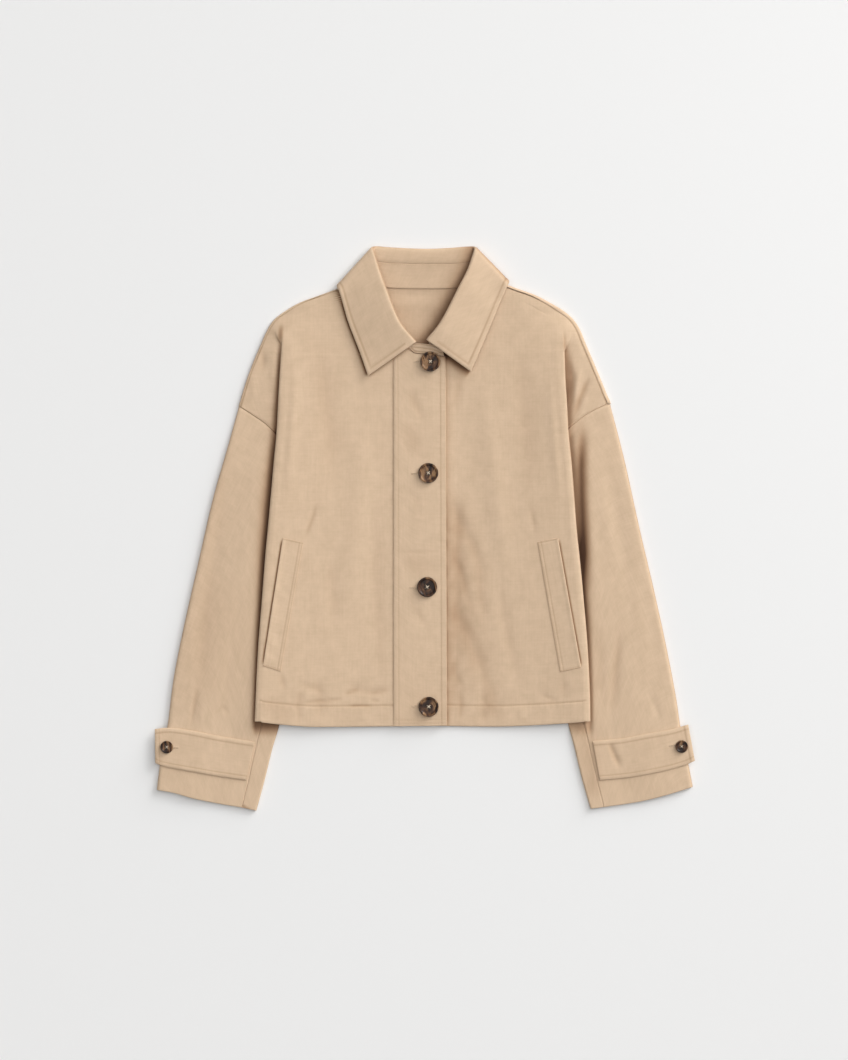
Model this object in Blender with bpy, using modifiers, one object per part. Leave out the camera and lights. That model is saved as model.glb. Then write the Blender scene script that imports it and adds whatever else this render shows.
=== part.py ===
"""Short trench coat, buttoned and laid flat on its back on a level surface.

Sizes are in millimetres and become metres where a mesh is made. +X is the viewer's right, +Y points to the
collar and +Z up, away from the surface. The origin is on the surface, under the middle of the coat's outline.
Each cloth piece is a wall round a middle surface, and heights below are those of the middle surface.
"""

import math

import bmesh
import bpy
import numpy as np

MM = 0.001

# The cloth and its layers
CLOTH = 1.2
SEAM_GAP = 0.3
PLY = CLOTH + SEAM_GAP
TABLE_Z = CLOTH / 2
SLEEVE_Z = 4.6
SLEEVE_PUFF = 2.0
TUCK_Z = 7.0
BACK_LIFT = 2.1

# Front closure
PLACKET_LEFT_X = -42.4
PLACKET_RIGHT_X = 28.1
PLACKET_FLARE = 1.7
LAP_INSET = 3.0
UNDERLAP_X = -14.0
LAP_DROP = 2.0
UNDERARM_Y = -40.0
SIDE_HEM_Y = -260.1

# Y of the sections that a front and the back share, so that their seams follow each other
SHOULDER_ROWS = (336, 330, 323, 315, 305, 294, 282, 268, 250, 226, 200, 180)
SIDE_ROWS = (-38, -44, -100, -160, -220, SIDE_HEM_Y)

# Buttons: radius, thickness, rim and the ring that its four holes lie on
FRONT_BUTTON = {"radius": 13.5, "thick": 4.2, "rim": 2.6, "hole_ring": 3.0, "hole": 1.1}
CUFF_BUTTON = {"radius": 8.5, "thick": 3.2, "rim": 1.8, "hole_ring": 2.1, "hole": 0.8}
FRONT_BUTTON_PLACES = ((7.4, 225.7), (4.6, 75.3), (3.0, -78.6), (5.1, -240.2))
BUTTON_STEPS = 24
HOLE_SIDES = 8

CLOTH_COLOUR = (0.60, 0.44, 0.29, 1.0)
HORN_COLOUR = (0.07, 0.04, 0.025, 1.0)

# One row for each section of a front. Distances out are from the middle line: seam is the shoulder seam and
# then the armhole, fold is the side fold, tuck is how far the cloth turns back under it, neck is the neckline.
LEFT_FRONT = {
    "sign": -1,
    "drop": 0.0,
    "wrap": 2.7,
    "seam": ((336, 92), (325.6, 114), (318, 134), (304.8, 165.9), (292, 187.5), (280.5, 202.4), (264.3, 212.5),
             (240.7, 222.6), (211.7, 234.8), (177.9, 245.6), (164.4, 249.6)),
    "armhole": ((164.4, 249.6), (157.7, 238.8), (150, 227.1), (142.8, 216.8), (132.4, 205.9), (115, 194),
                (90, 184), (40, 172.5), (-40, 160)),
    "fold": ((300, 196), (271, 195), (248, 193.2), (226, 194.3), (200, 196), (167, 197.8), (130, 199.7),
             (90, 203.5), (50, 207), (0, 211.5), (-40, 215.2), (-92, 219.2), (-168, 225), (-267, 229.6)),
    "tuck": ((300, -22), (285, -14), (262, 0), (248, 4), (200, 12), (167, 17), (130, 24), (90, 33), (50, 42),
             (0, 52.5), (-40, 58.7)),
    "neck": ((336, 80), (325, 79), (310, 76), (295, 71), (280, 62), (266, 50.5), (256, 40), (248, 28),
             (244, 22), (240.7, 18), (237.6, 12), (234, -25)),
    "hem": ((-25, -266), (42, -266.8), (146, -267.6), (197, -264.1), (229.6, -260.1)),
}
RIGHT_FRONT = {
    "sign": 1,
    "drop": LAP_DROP,
    "wrap": 5.0,
    "seam": ((336, 93), (329, 106), (322, 124), (314.3, 145.3), (296.7, 174.3), (285.4, 191.8), (269.7, 204),
             (249.5, 212.6), (225.2, 222.9), (200.9, 233.1), (168.5, 246.2)),
    "armhole": ((168.5, 246.2), (162.4, 233.1), (154.4, 218.4), (145.5, 206.7), (135.4, 195.1), (115, 184),
                (90, 176), (40, 166.5), (-40, 156)),
    "fold": ((300, 188), (248, 187.8), (225, 188.4), (204, 189.1), (167, 191.4), (135, 193), (90, 197.4),
             (50, 200.5), (0, 204.3), (-40, 208.5), (-92, 213.5), (-168, 219.6), (-234, 222.5), (-267, 222.9)),
    "tuck": ((300, -20), (270, -12), (248, -4), (225, 1), (204, 4), (167, 10), (135, 17), (90, 28), (50, 37),
             (0, 48.5), (-40, 56)),
    "neck": ((336, 78), (326, 76.5), (306, 71), (290, 62), (276, 50), (262, 36), (252, 22), (247, 14), (243, 6),
             (238, -14)),
    "hem": ((-25, -265.4), (93, -267.2), (166, -264.3), (222.9, -260.1)),
}
# Heights of the left front along the middle and beside the side fold
MIDDLE_Z = ((350, 8.2), (300, 7.4), (236, 6.6), (150, 6.4), (0, 6.4), (-150, 6.2), (-267, 5.4))
FOLD_Z = ((350, 9.0), (300, 11.5), (236, 12.6), (150, 13.0), (0, 13.0), (-150, 12.8), (-267, 12.2))
SHOULDER_RISE = 16.0

# Sleeves in plan, as distance out and Y: the outer fold, the inner fold and the open end
LEFT_SLEEVE = {
    "outer": ((251.2, 165.2), (265.3, 114.5), (286.1, 41.6), (306.3, -46.2), (327.2, -139.3), (340.1, -206.1),
              (347.9, -267.6), (358.2, -320.2), (362.1, -352.6)),
    "inner": ((160, -40), (168, -100), (180, -180), (196.7, -264.9), (206.4, -298.2), (216.7, -340.5),
              (227.7, -381.0)),
    "cuff": ((362.1, -352.6), (339.4, -356.7), (313.6, -364.1), (277.4, -371.5), (249.1, -376.2),
             (227.7, -381.0)),
    "seam_inset": ((0, 34), (0.66, 26.5), (1, 20)),
}
RIGHT_SLEEVE = {
    "outer": ((250.4, 168.0), (269.5, 93.4), (290.1, 0.4), (310.6, -87.3), (326.3, -159.6), (339.9, -231.1),
              (345.1, -266.2), (356.5, -320.2), (361.9, -348.6)),
    "inner": ((156, -40), (165, -100), (178, -180), (194.0, -264.9), (200.5, -289.2), (210.7, -331.8),
              (223.7, -378.3)),
    "cuff": ((361.9, -348.6), (324.1, -360.3), (285.7, -369.4), (244.5, -375.5), (223.7, -378.3)),
    "seam_inset": ((0, 34), (0.66, 24.6), (1, 18)),
}
BACK_SEAM_INSET = 14.0
# How much less the back turns over the shoulder where the collar's corner covers it
WRAP_AT_COLLAR = 1.5

# Welts and straps in plan. A strap's rows run from its free end to the seam that holds it.
WELTS = {
    "welt_left": ((-191.8, -12.7), (-164.4, -18.8), (-218.3, -184.5), (-194.7, -192.6)),
    "welt_right": ((179.6, -12.4), (152.0, -18.1), (210.7, -187.0), (182.4, -193.6)),
}
STRAPS = {
    "strap_left": {
        "top": ((-364.6, -270.3), (-348.4, -268.5), (-320.1, -271.6), (-278.8, -279.7), (-229.4, -287.8)),
        "bottom": ((-364.0, -316.2), (-356.8, -319.5), (-312.3, -328.3), (-277.4, -334.4), (-241.4, -339.7)),
    },
    "strap_right": {
        "top": ((355.5, -264.1), (330.9, -271.2), (298.5, -277.0), (259.9, -283.8), (226.2, -286.5)),
        "bottom": ((364.5, -313.1), (350.3, -319.5), (311.6, -329.3), (270.1, -336.4), (236.0, -339.7)),
    },
}
CUFF_BUTTON_PLACES = {"button_cuff_left": (-348.4, -294.6), "button_cuff_right": (346.4, -293.8)}

# Collar stations from the leaf's front end to the side of the neck: the crease that the leaf turns over on, its
# free edge, the stand's neck seam, and where the leaf meets the stand, measured from the crease.
LEFT_COLLAR = {
    "roll": ((-11.3, 252.2, 19), (-33.6, 279.2, 22), (-52.5, 325.1, 21), (-62, 352, 17.5)),
    "edge": ((-76.8, 206.3, 13.5), (-87.3, 236.5, 13.5), (-103.1, 282, 14), (-111.6, 306.5, 13)),
    "neck": ((-22.1, 244.8, 10.3), (-52, 267, 10.2), (-76, 304, 10.4), (-84, 336, 10)),
    "seam_in": (4, 12, 18, 20),
    "seam_down": (6, 9, 10, 8),
    "corner_roll": (-71.4, 382.0),
    "corner_edge": (-119.2, 328.4),
    "corner_neck": (-84, 346.5),
}
RIGHT_COLLAR = {
    "roll": ((1.9, 254.9, 20), (19.0, 275.8, 22), (45.2, 325.1, 21), (59, 353, 17.5)),
    "edge": ((62.2, 211.7, 14), (73, 237.5, 14), (92, 282.5, 14), (103, 309, 13)),
    "neck": ((7, 245.5, 6.3), (41, 267, 8.6), (70, 306, 10.4), (80, 339, 10)),
    "seam_in": (3.5, 12, 18, 20),
    "seam_down": (6.5, 9, 10, 8),
    "corner_roll": (68.3, 382.0),
    "corner_edge": (113.9, 334.6),
    "corner_neck": (80, 348.5),
}
BACK_COLLAR = {
    "roll": ((-54, 380.2), (-28, 378.6), (2.8, 377.6), (34, 378.8), (53, 380.4)),
    "edge": ((-95, 317), (-50, 308), (2.8, 306), (50, 310), (90, 321)),
    "neck": ((-68, 328.5), (-36, 324.8), (0, 324.2), (34, 324.8), (64, 329.5)),
}
COLLAR_TURN = (90, 50, 0, -50, -90)
ROLL_DEEP = 7.4
LEAF_CROWN = 0.8
CORNER_TOP_Z = 13.4
STAND_SEAM_Y = 357.5
STAND_NECK_Z = 4.3
# The stand's end past the left leaf, from its tip: top edge and neck edge
STAND_TAB = {
    "top": ((24, 243.2, 10.6), (8, 249.0, 11.0), (-6, 250.0, 11.6)),
    "neck": ((26, 233.2, 9.6), (6, 236.0, 9.6), (-13, 237.6, 9.8)),
}


# ---------------------------------------------------------------- curves

def smooth(at, rows):
    """Monotone cubic through (station, value) rows, held level past both ends."""
    stations, values = np.array(sorted(rows), dtype=float).T
    step = np.diff(stations)
    slope = np.diff(values) / step
    tangent = np.zeros_like(values)
    product = slope[:-1] * slope[1:]
    total = slope[:-1] + slope[1:]
    tangent[1:-1] = np.where(product > 0, 2 * product / np.where(total == 0, 1, total), 0)
    tangent[0], tangent[-1] = slope[0], slope[-1]
    at = np.clip(np.asarray(at, dtype=float), stations[0], stations[-1])
    span = np.clip(np.searchsorted(stations, at, side="right") - 1, 0, len(step) - 1)
    t = (at - stations[span]) / step[span]
    return (values[span] * (1 + 2 * t) * (1 - t) ** 2 + values[span + 1] * t * t * (3 - 2 * t)
            + step[span] * t * (1 - t) * (tangent[span] * (1 - t) - tangent[span + 1] * t))


def along(points, share):
    """Points at shares 0 to 1 of the way along a smooth path through the given points."""
    points = np.array(points, dtype=float)
    run = np.concatenate([[0], np.cumsum(np.linalg.norm(np.diff(points, axis=0), axis=1))])
    run /= run[-1]
    return np.stack([smooth(share, list(zip(run, column))) for column in points.T], axis=-1)


def ease(t):
    """Smooth step from 0 at t = 0 to 1 at t = 1."""
    t = np.clip(t, 0, 1)
    return t * t * (3 - 2 * t)


def rounded(corners, steps):
    """Quadratic curve that touches the middle of each side of an open polygon, and its two ends.

    corners has shape (..., corner, coordinate), and each inner corner gives steps stretches of the curve.
    """
    middle = (corners[..., 1:, :] + corners[..., :-1, :]) / 2
    middle[..., 0, :] = corners[..., 0, :]
    middle[..., -1, :] = corners[..., -1, :]
    stretches = []
    for corner in range(1, corners.shape[-2] - 1):
        for t in np.arange(steps) / steps:
            stretches.append((1 - t) ** 2 * middle[..., corner - 1, :] + 2 * t * (1 - t) * corners[..., corner, :]
                             + t * t * middle[..., corner, :])
    stretches.append(corners[..., -1, :])
    return np.stack(stretches, axis=-2)


# ---------------------------------------------------------------- heights and plans

def back_lift(y):
    """How far the body stands off the table over the collar's fall."""
    return BACK_LIFT * ease((np.asarray(y, dtype=float) - 286) / 16)


def front_height(front, out, y):
    """Middle surface of a front's top layer: low along the closure, high beside the fold, down at the shoulder."""
    out, y = np.broadcast_arrays(np.asarray(out, dtype=float), np.asarray(y, dtype=float))
    middle = smooth(y, MIDDLE_Z) - front["drop"]
    fold_out = smooth(y, front["fold"])
    share = np.clip((out - 40) / (fold_out - 48), 0, 1)
    height = middle + (smooth(y, FOLD_Z) - middle) * share ** 1.5
    shoulder_y = smooth(out, [(seam, row) for row, seam in front["seam"]])
    seam_z = SLEEVE_Z + back_lift(y)
    return seam_z + (height - seam_z) * (1 - np.exp(-np.maximum(shoulder_y - y, 0) / SHOULDER_RISE))


def left_placket_top(x):
    """Neckline of the left front, as Y over X."""
    return smooth(-np.asarray(x, dtype=float), [(neck, row) for row, neck in LEFT_FRONT["neck"][3:]])


def seam_out(front, y):
    """Distance out of the shoulder seam above the armhole's top, and of the armhole below it."""
    tip_y = front["armhole"][0][0]
    return np.where(y >= tip_y, smooth(y, front["seam"]), smooth(y, front["armhole"]))


def seam_stretch(front, y):
    """How far out a point moves for each millimetre square to the shoulder seam."""
    tip_y = front["armhole"][0][0]
    slope = seam_out(front, np.maximum(y, tip_y + 1) + 0.5) - seam_out(front, np.maximum(y, tip_y + 1) - 0.5)
    return np.where(y > tip_y, np.sqrt(1 + slope ** 2), 1.0)


def inner_fold_out(sleeve, y):
    """Distance out of a sleeve's inner fold."""
    return smooth(y, [(row, out) for out, row in sleeve["inner"]])


def sleeve_plan(front, sleeve, u, v):
    """Coons patch between the outer fold (u 0), inner fold (u 1), armhole (v 0) and cuff (v 1)."""
    armhole = [sleeve["outer"][0]] + [(out, row) for row, out in front["armhole"][1:]]
    outer, inner = along(sleeve["outer"], v), along(sleeve["inner"], v)
    head, cuff = along(armhole, u), along(sleeve["cuff"], u)
    corners = [np.array(point, dtype=float) for point in (armhole[0], armhole[-1], sleeve["cuff"][0],
                                                         sleeve["cuff"][-1])]
    u, v = u[..., None], v[..., None]
    flat = ((1 - u) * (1 - v) * corners[0] + u * (1 - v) * corners[1] + (1 - u) * v * corners[2]
            + u * v * corners[3])
    return (1 - u) * outer + u * inner + (1 - v) * head + v * cuff - flat


def sleeve_height(u, v):
    """Top layer of a sleeve: puffed towards its outer fold, flat where the body lies on it."""
    return SLEEVE_Z + SLEEVE_PUFF * (1 - ease((u - 0.3) / 0.35)) * ease(v / 0.16)


# ---------------------------------------------------------------- solids

def material_for(name, colour, roughness):
    material = bpy.data.materials.new(name)
    material.use_nodes = True
    shader = material.node_tree.nodes["Principled BSDF"]
    shader.inputs["Base Color"].default_value = colour
    shader.inputs["Roughness"].default_value = roughness
    shader.inputs["Metallic"].default_value = 0.0
    return material


def cloth_piece(collection, name, points, keep=None):
    """Cloth wall round a grid of points in millimetres. keep says which of its squares exist."""
    rows, columns = points.shape[:2]
    index = np.arange(rows * columns).reshape(rows, columns)
    squares = np.stack([index[:-1, :-1], index[:-1, 1:], index[1:, 1:], index[1:, :-1]], axis=-1)
    if keep is not None:
        squares = squares[keep]
    mesh = bpy.data.meshes.new(name)
    mesh.from_pydata((points.reshape(-1, 3) * MM).tolist(), [], squares.reshape(-1, 4).tolist())
    shape = bmesh.new()
    shape.from_mesh(mesh)
    bmesh.ops.delete(shape, geom=[vertex for vertex in shape.verts if not vertex.link_faces], context="VERTS")
    shape.to_mesh(mesh)
    shape.free()
    piece = bpy.data.objects.new(name, mesh)
    piece.data.materials.append(material_for(name, CLOTH_COLOUR, 0.85))
    wall = piece.modifiers.new("wall", "SOLIDIFY")
    wall.thickness = CLOTH * MM
    wall.offset = 0
    collection.objects.link(piece)
    return piece


def mirrored(front, out, y, z):
    """Points from distances out, on the front's own side."""
    return np.stack([front["sign"] * out, y, z], axis=-1)


# ---------------------------------------------------------------- body

def front_rows(front):
    """Y of a front's sections: close where its outline turns, wide down its sides."""
    armhole_rows = [row for row, _ in front["armhole"][:-1]]
    neck_rows = [front["neck"][-2][0], front["neck"][-1][0]]
    rows = set(SHOULDER_ROWS) | set(armhole_rows) | set(neck_rows) | set(SIDE_ROWS)
    return np.array(sorted(rows, reverse=True), dtype=float)


def front_panel(collection, name, front, sleeve, middle_out):
    """A front: its cap from the armhole, the turn under the side fold, the fold, and the top layer to the middle."""
    y = front_rows(front)
    upper = y >= UNDERARM_Y
    neck = smooth(y, front["neck"])
    neck = np.where(y > front["neck"][-1][0], np.maximum(neck, middle_out), middle_out)
    gap = (SEAM_GAP / 2 + 1.5 * ease((y - 300) / 18)) * seam_stretch(front, y) + 0.6 * ease((125 - y) / 30)
    seam = seam_out(front, y) - gap
    width = seam - neck
    fold = smooth(y, front["fold"])
    shoulder = y > front["armhole"][0][0]
    fold = np.where(shoulder, np.minimum(fold, seam - np.minimum(16, 0.4 * width)), fold)
    tuck = smooth(y, front["tuck"])
    inner = inner_fold_out(sleeve, np.minimum(y, UNDERARM_Y))
    cap_z = SLEEVE_Z + back_lift(y)
    turn = np.where(upper, np.minimum(fold - tuck, seam - np.minimum(4, 0.1 * width)), inner - 3.5)
    start = np.where(upper, seam, inner - 8)
    low_z = np.where(upper, cap_z, TABLE_Z)
    lay_z = np.where(upper, np.minimum(TUCK_Z, cap_z + 2.4), TUCK_Z)
    under = np.where(upper, fold - turn, 40)
    top_out = fold - np.minimum(8, 0.2 * width)
    top_z = front_height(front, top_out, y)
    corner_rows = [
        (start, low_z),
        ((start + turn) / 2, low_z),
        (turn, low_z),
        (turn, lay_z),
        (turn + np.clip(under / 3, -5, 5), lay_z + 0.5),
        (fold - np.clip(under / 3, -6, 6), lay_z + 1.0),
        (fold, lay_z + 1.5),
        (fold, top_z),
        (top_out, top_z),
    ]
    corners = np.stack([np.stack(pair, axis=-1) for pair in corner_rows], axis=1)
    side = rounded(corners, 2)
    share = np.array((0.14, 0.3, 0.5, 0.69, 1.0))
    top = top_out[:, None] + (neck - top_out)[:, None] * share
    out = np.concatenate([side[..., 0], top], axis=1)
    z = np.concatenate([side[..., 1], front_height(front, top, y[:, None])], axis=1)
    hem_out = np.where(np.arange(out.shape[1]) < side.shape[1], smooth(y[-1], front["fold"]), out)
    hem_drop = smooth(hem_out, front["hem"]) - SIDE_HEM_Y
    row_y = y[:, None] + hem_drop * ease((-150 - y[:, None]) / 110)
    return cloth_piece(collection, name, mirrored(front, out, row_y, z))


def back_panel(collection):
    """The back: flat on the table between the sleeves, rolled over the shoulders to the shoulder seams."""
    left_tip, right_tip = LEFT_FRONT["armhole"][0][0] + 2, RIGHT_FRONT["armhole"][0][0] + 2
    y = np.array((*SHOULDER_ROWS, right_tip, left_tip, 150, 125, 90, 40, *SIDE_ROWS), dtype=float)
    base_z = TABLE_Z + back_lift(y)
    opening = smooth(y, ((323, 60), (330, 70), (336, 76)))
    wrap_steps = np.radians((90, 45, 0, -45, -90))
    sides = []
    for front, sleeve in ((LEFT_FRONT, LEFT_SLEEVE), (RIGHT_FRONT, RIGHT_SLEEVE)):
        tip = front["armhole"][0][0]
        radius = (SLEEVE_Z - TABLE_Z) / 2
        hidden = 1.5 * ease((150 - y) / 25) + 6 * ease(-y / 40)
        below = np.where(y >= UNDERARM_Y, seam_out(front, y) - 0.6 - hidden,
                         inner_fold_out(sleeve, np.minimum(y, UNDERARM_Y)) - 8 - SEAM_GAP)
        stretch = seam_stretch(front, y)
        covered = ease((y - 300) / 18)
        wrap = front["wrap"] - WRAP_AT_COLLAR * covered
        centre = np.where(y >= tip, seam_out(front, y) + (SEAM_GAP - 0.8 * covered) * stretch, below)
        reach = (wrap - CLOTH / 2 - SEAM_GAP) * stretch
        wrap_out = centre[:, None] + reach[:, None] * np.cos(wrap_steps)
        wrap_z = (base_z + radius)[:, None] + radius * np.sin(wrap_steps)
        share = np.array((0.12, 0.5, 1.0))
        flat_out = centre[:, None] + (opening - centre)[:, None] * share
        out = np.concatenate([wrap_out, flat_out], axis=1)
        z = np.concatenate([wrap_z, np.repeat(base_z[:, None], len(share), axis=1)], axis=1)
        sides.append(mirrored(front, out, np.repeat(y[:, None], out.shape[1], axis=1), z))
    middle = np.stack(np.broadcast_arrays(np.array((-30.0, 0, 30.0)), y[:, None], base_z[:, None]), axis=-1)
    points = np.concatenate([sides[0], middle, sides[1][:, ::-1]], axis=1)
    keep = np.ones((len(y) - 1, points.shape[1] - 1), dtype=bool)
    wrap_squares = len(wrap_steps) - 1
    keep[y[1:] < left_tip, :wrap_squares] = False
    keep[y[1:] < right_tip, -wrap_squares:] = False
    above_neck = y[1:] > 322
    first, last = sides[0].shape[1] - 1, -sides[1].shape[1] + 1
    keep[above_neck, first:last] = False
    return cloth_piece(collection, "back_panel", points, keep)


def placket(collection):
    """Strip along the left front's free edge, one ply above it."""
    share = np.linspace(0, 1, 5)
    y_rows = np.array((1.0, 0.97, 0.92, 0.8, 0.65, 0.5, 0.35, 0.2, 0.08, 0.0))[:, None]
    x = PLACKET_LEFT_X + (PLACKET_RIGHT_X - PLACKET_LEFT_X) * share
    x = x + PLACKET_FLARE * share * (1 - y_rows)
    bottom = smooth(-x, LEFT_FRONT["hem"])
    y = bottom + (left_placket_top(x) - 1.0 - bottom) * y_rows
    z = front_height(LEFT_FRONT, -x, y) + PLY + 0.2
    return cloth_piece(collection, "placket", np.stack([x, y, z], axis=-1))


def welt(collection, name, front, corners):
    """Pocket welt between four corners, one ply above its front."""
    top_outer, top_inner, low_outer, low_inner = (np.array(corner, dtype=float) for corner in corners)
    across = np.linspace(0, 1, 3)[None, :, None]
    down = np.linspace(0, 1, 8)[:, None, None]
    top = top_outer + (top_inner - top_outer) * across
    low = low_outer + (low_inner - low_outer) * across
    plan = top + (low - top) * down
    z = front_height(front, np.abs(plan[..., 0]), plan[..., 1]) + PLY + SEAM_GAP
    return cloth_piece(collection, name, np.concatenate([plan, z[..., None]], axis=-1))


# ---------------------------------------------------------------- sleeves

def sleeve_pieces(collection, side, front, sleeve):
    """Upper and under sleeve, as two runs of one flattened tube."""
    v = np.array((0.0012, 0.06, 0.16, 0.3, 0.45, 0.6, 0.75, 0.88, 1.0))
    ends = sleeve_plan(front, sleeve, np.stack([np.zeros_like(v), np.ones_like(v)]), np.stack([v, v]))
    width = np.linalg.norm(ends[1] - ends[0], axis=-1)
    inset = smooth(v, sleeve["seam_inset"])
    half = CLOTH / 2

    def placed(name, across, z):
        u = across / width[:, None]
        plan = sleeve_plan(front, sleeve, u, np.repeat(v[:, None], u.shape[1], axis=1))
        return cloth_piece(collection, name, mirrored(front, plan[..., 0], plan[..., 1], z))

    def profile(parts):
        return np.stack([np.stack(np.broadcast_arrays(across, z, v)[:2], axis=-1) for across, z in parts], axis=1)

    outer_z = sleeve_height(np.zeros_like(v), v)
    fold = rounded(profile([(BACK_SEAM_INSET, TABLE_Z), (5, TABLE_Z), (half, TABLE_Z), (half, outer_z),
                            (6, outer_z)]), 3)
    last = width - inset - SEAM_GAP
    top = 6 + (last - 6)[:, None] * np.array((0.25, 0.5, 0.75, 1.0))
    top_z = sleeve_height(top / width[:, None], v[:, None])
    placed(f"sleeve_{side}_upper", np.concatenate([fold[..., 0], top], axis=1),
           np.concatenate([fold[..., 1], top_z], axis=1))

    fold = rounded(profile([(width - inset + SEAM_GAP / 2, SLEEVE_Z), (width - 5, SLEEVE_Z),
                            (width - half, SLEEVE_Z), (width - half, TABLE_Z), (width - 5, TABLE_Z)]), 3)
    first = BACK_SEAM_INSET + SEAM_GAP
    low = (width - 5)[:, None] + (first - (width - 5))[:, None] * np.array((0.33, 0.67, 1.0))
    placed(f"sleeve_{side}_under", np.concatenate([fold[..., 0], low], axis=1),
           np.concatenate([fold[..., 1], np.full_like(low, TABLE_Z)], axis=1))


def strap(collection, name, table):
    """Cuff strap above the upper sleeve, straight on past the sleeve's outer fold."""
    share = np.linspace(0, 1, 9)
    top, bottom = along(table["top"], share), along(table["bottom"], share)
    across = np.linspace(0, 1, 4)[None, :, None]
    plan = top[:, None, :] + (bottom - top)[:, None, :] * across
    u = np.clip(share * 1.02 - 0.08, 0, 1) * 0.87
    z = sleeve_height(u, np.full_like(u, 0.86)) + PLY + SEAM_GAP
    z = np.repeat(z[:, None, None], plan.shape[1], axis=1)
    return cloth_piece(collection, name, np.concatenate([plan, z], axis=-1))


# ---------------------------------------------------------------- collar

def corner_stations(half):
    """Stations where the collar turns round the shoulder, from the front side down to the back."""
    roll, edge = np.array(half["corner_roll"]), np.array(half["corner_edge"])
    run = (edge - roll) / np.linalg.norm(edge - roll)
    outward = np.array((-run[1], run[0])) * math.copysign(1, run[0])
    stations = []
    for turn in np.radians(COLLAR_TURN):
        normal = np.array((*(outward * math.cos(turn)), math.sin(turn)))
        radius = (CORNER_TOP_Z - TABLE_Z) / 2
        inset = radius - CLOTH / 2
        points = [np.array((*(point - outward * (radius + CLOTH / 2)), TABLE_Z + radius)) + normal * radius
                  for point in (roll, edge)]
        neck_z = STAND_NECK_Z + 2.8 + 2.8 * math.sin(turn)
        neck = np.array((*(np.array(half["corner_neck"]) + outward * 1.5 * math.cos(turn)), neck_z))
        stations.append((points[0], points[1], neck, normal, 20.0, min(inset, 4.6), 7.0))
    return stations


def front_stations(half):
    up = np.array((0.0, 0.0, 1.0))
    columns = (half["roll"], half["edge"], half["neck"], half["seam_in"], half["seam_down"])
    return [(np.array(roll, dtype=float), np.array(edge, dtype=float), np.array(neck, dtype=float), up,
             seam_in, seam_down, min(ROLL_DEEP, seam_down + 0.5))
            for roll, edge, neck, seam_in, seam_down in zip(*columns)]


def back_stations():
    down = np.array((0.0, 0.0, -1.0))
    columns = (BACK_COLLAR["roll"], BACK_COLLAR["edge"], BACK_COLLAR["neck"])
    return [(np.array((*roll, TABLE_Z)), np.array((*edge, TABLE_Z)), np.array((*neck, STAND_NECK_Z)), down,
             roll[1] - STAND_SEAM_Y, 4.6, ROLL_DEEP) for roll, edge, neck in zip(*columns)]


def collar_stations():
    """All stations from the left leaf's front end round the back to the right leaf's."""
    left = front_stations(LEFT_COLLAR) + corner_stations(LEFT_COLLAR)
    right = front_stations(RIGHT_COLLAR) + corner_stations(RIGHT_COLLAR)
    return left + back_stations() + right[::-1]


def collar_seam(station, gap):
    """Where leaf and stand meet: in from the crease and down from the leaf, gap short of the seam."""
    roll, edge, neck, normal, seam_in, seam_down, _ = station
    run = (edge - roll) / np.linalg.norm(edge - roll)
    return roll + run * (seam_in + gap) - normal * seam_down


def collar_leaf(collection):
    """The leaf: from the stand's seam up over the crease and down to its free edge."""
    sections = []
    for station in collar_stations():
        roll, edge, neck, normal, _, _, deep = station
        run = (edge - roll) / np.linalg.norm(edge - roll)
        beside = roll + run * 9 + normal * max(0.0, normal[2]) * LEAF_CROWN
        sections.append([collar_seam(station, -2 * SEAM_GAP), roll - normal * deep, roll, beside, edge])
    return cloth_piece(collection, "collar_leaf", rounded(np.array(sections), 3))


def collar_stand(collection):
    """The stand: from the neck seam up to the leaf, with its end past the left leaf's front."""
    sections = [[top, (np.array(top) + np.array(neck)) / 2, neck]
                for top, neck in zip(STAND_TAB["top"], STAND_TAB["neck"])]
    for station in collar_stations():
        seam = collar_seam(station, 0.0)
        neck = station[2]
        low = neck + (seam - neck) * np.array((0.75, 0.75, 0.2))
        sections.append([seam, low, neck])
    return cloth_piece(collection, "collar_stand", rounded(np.array(sections, dtype=float), 3))


# ---------------------------------------------------------------- buttons

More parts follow.
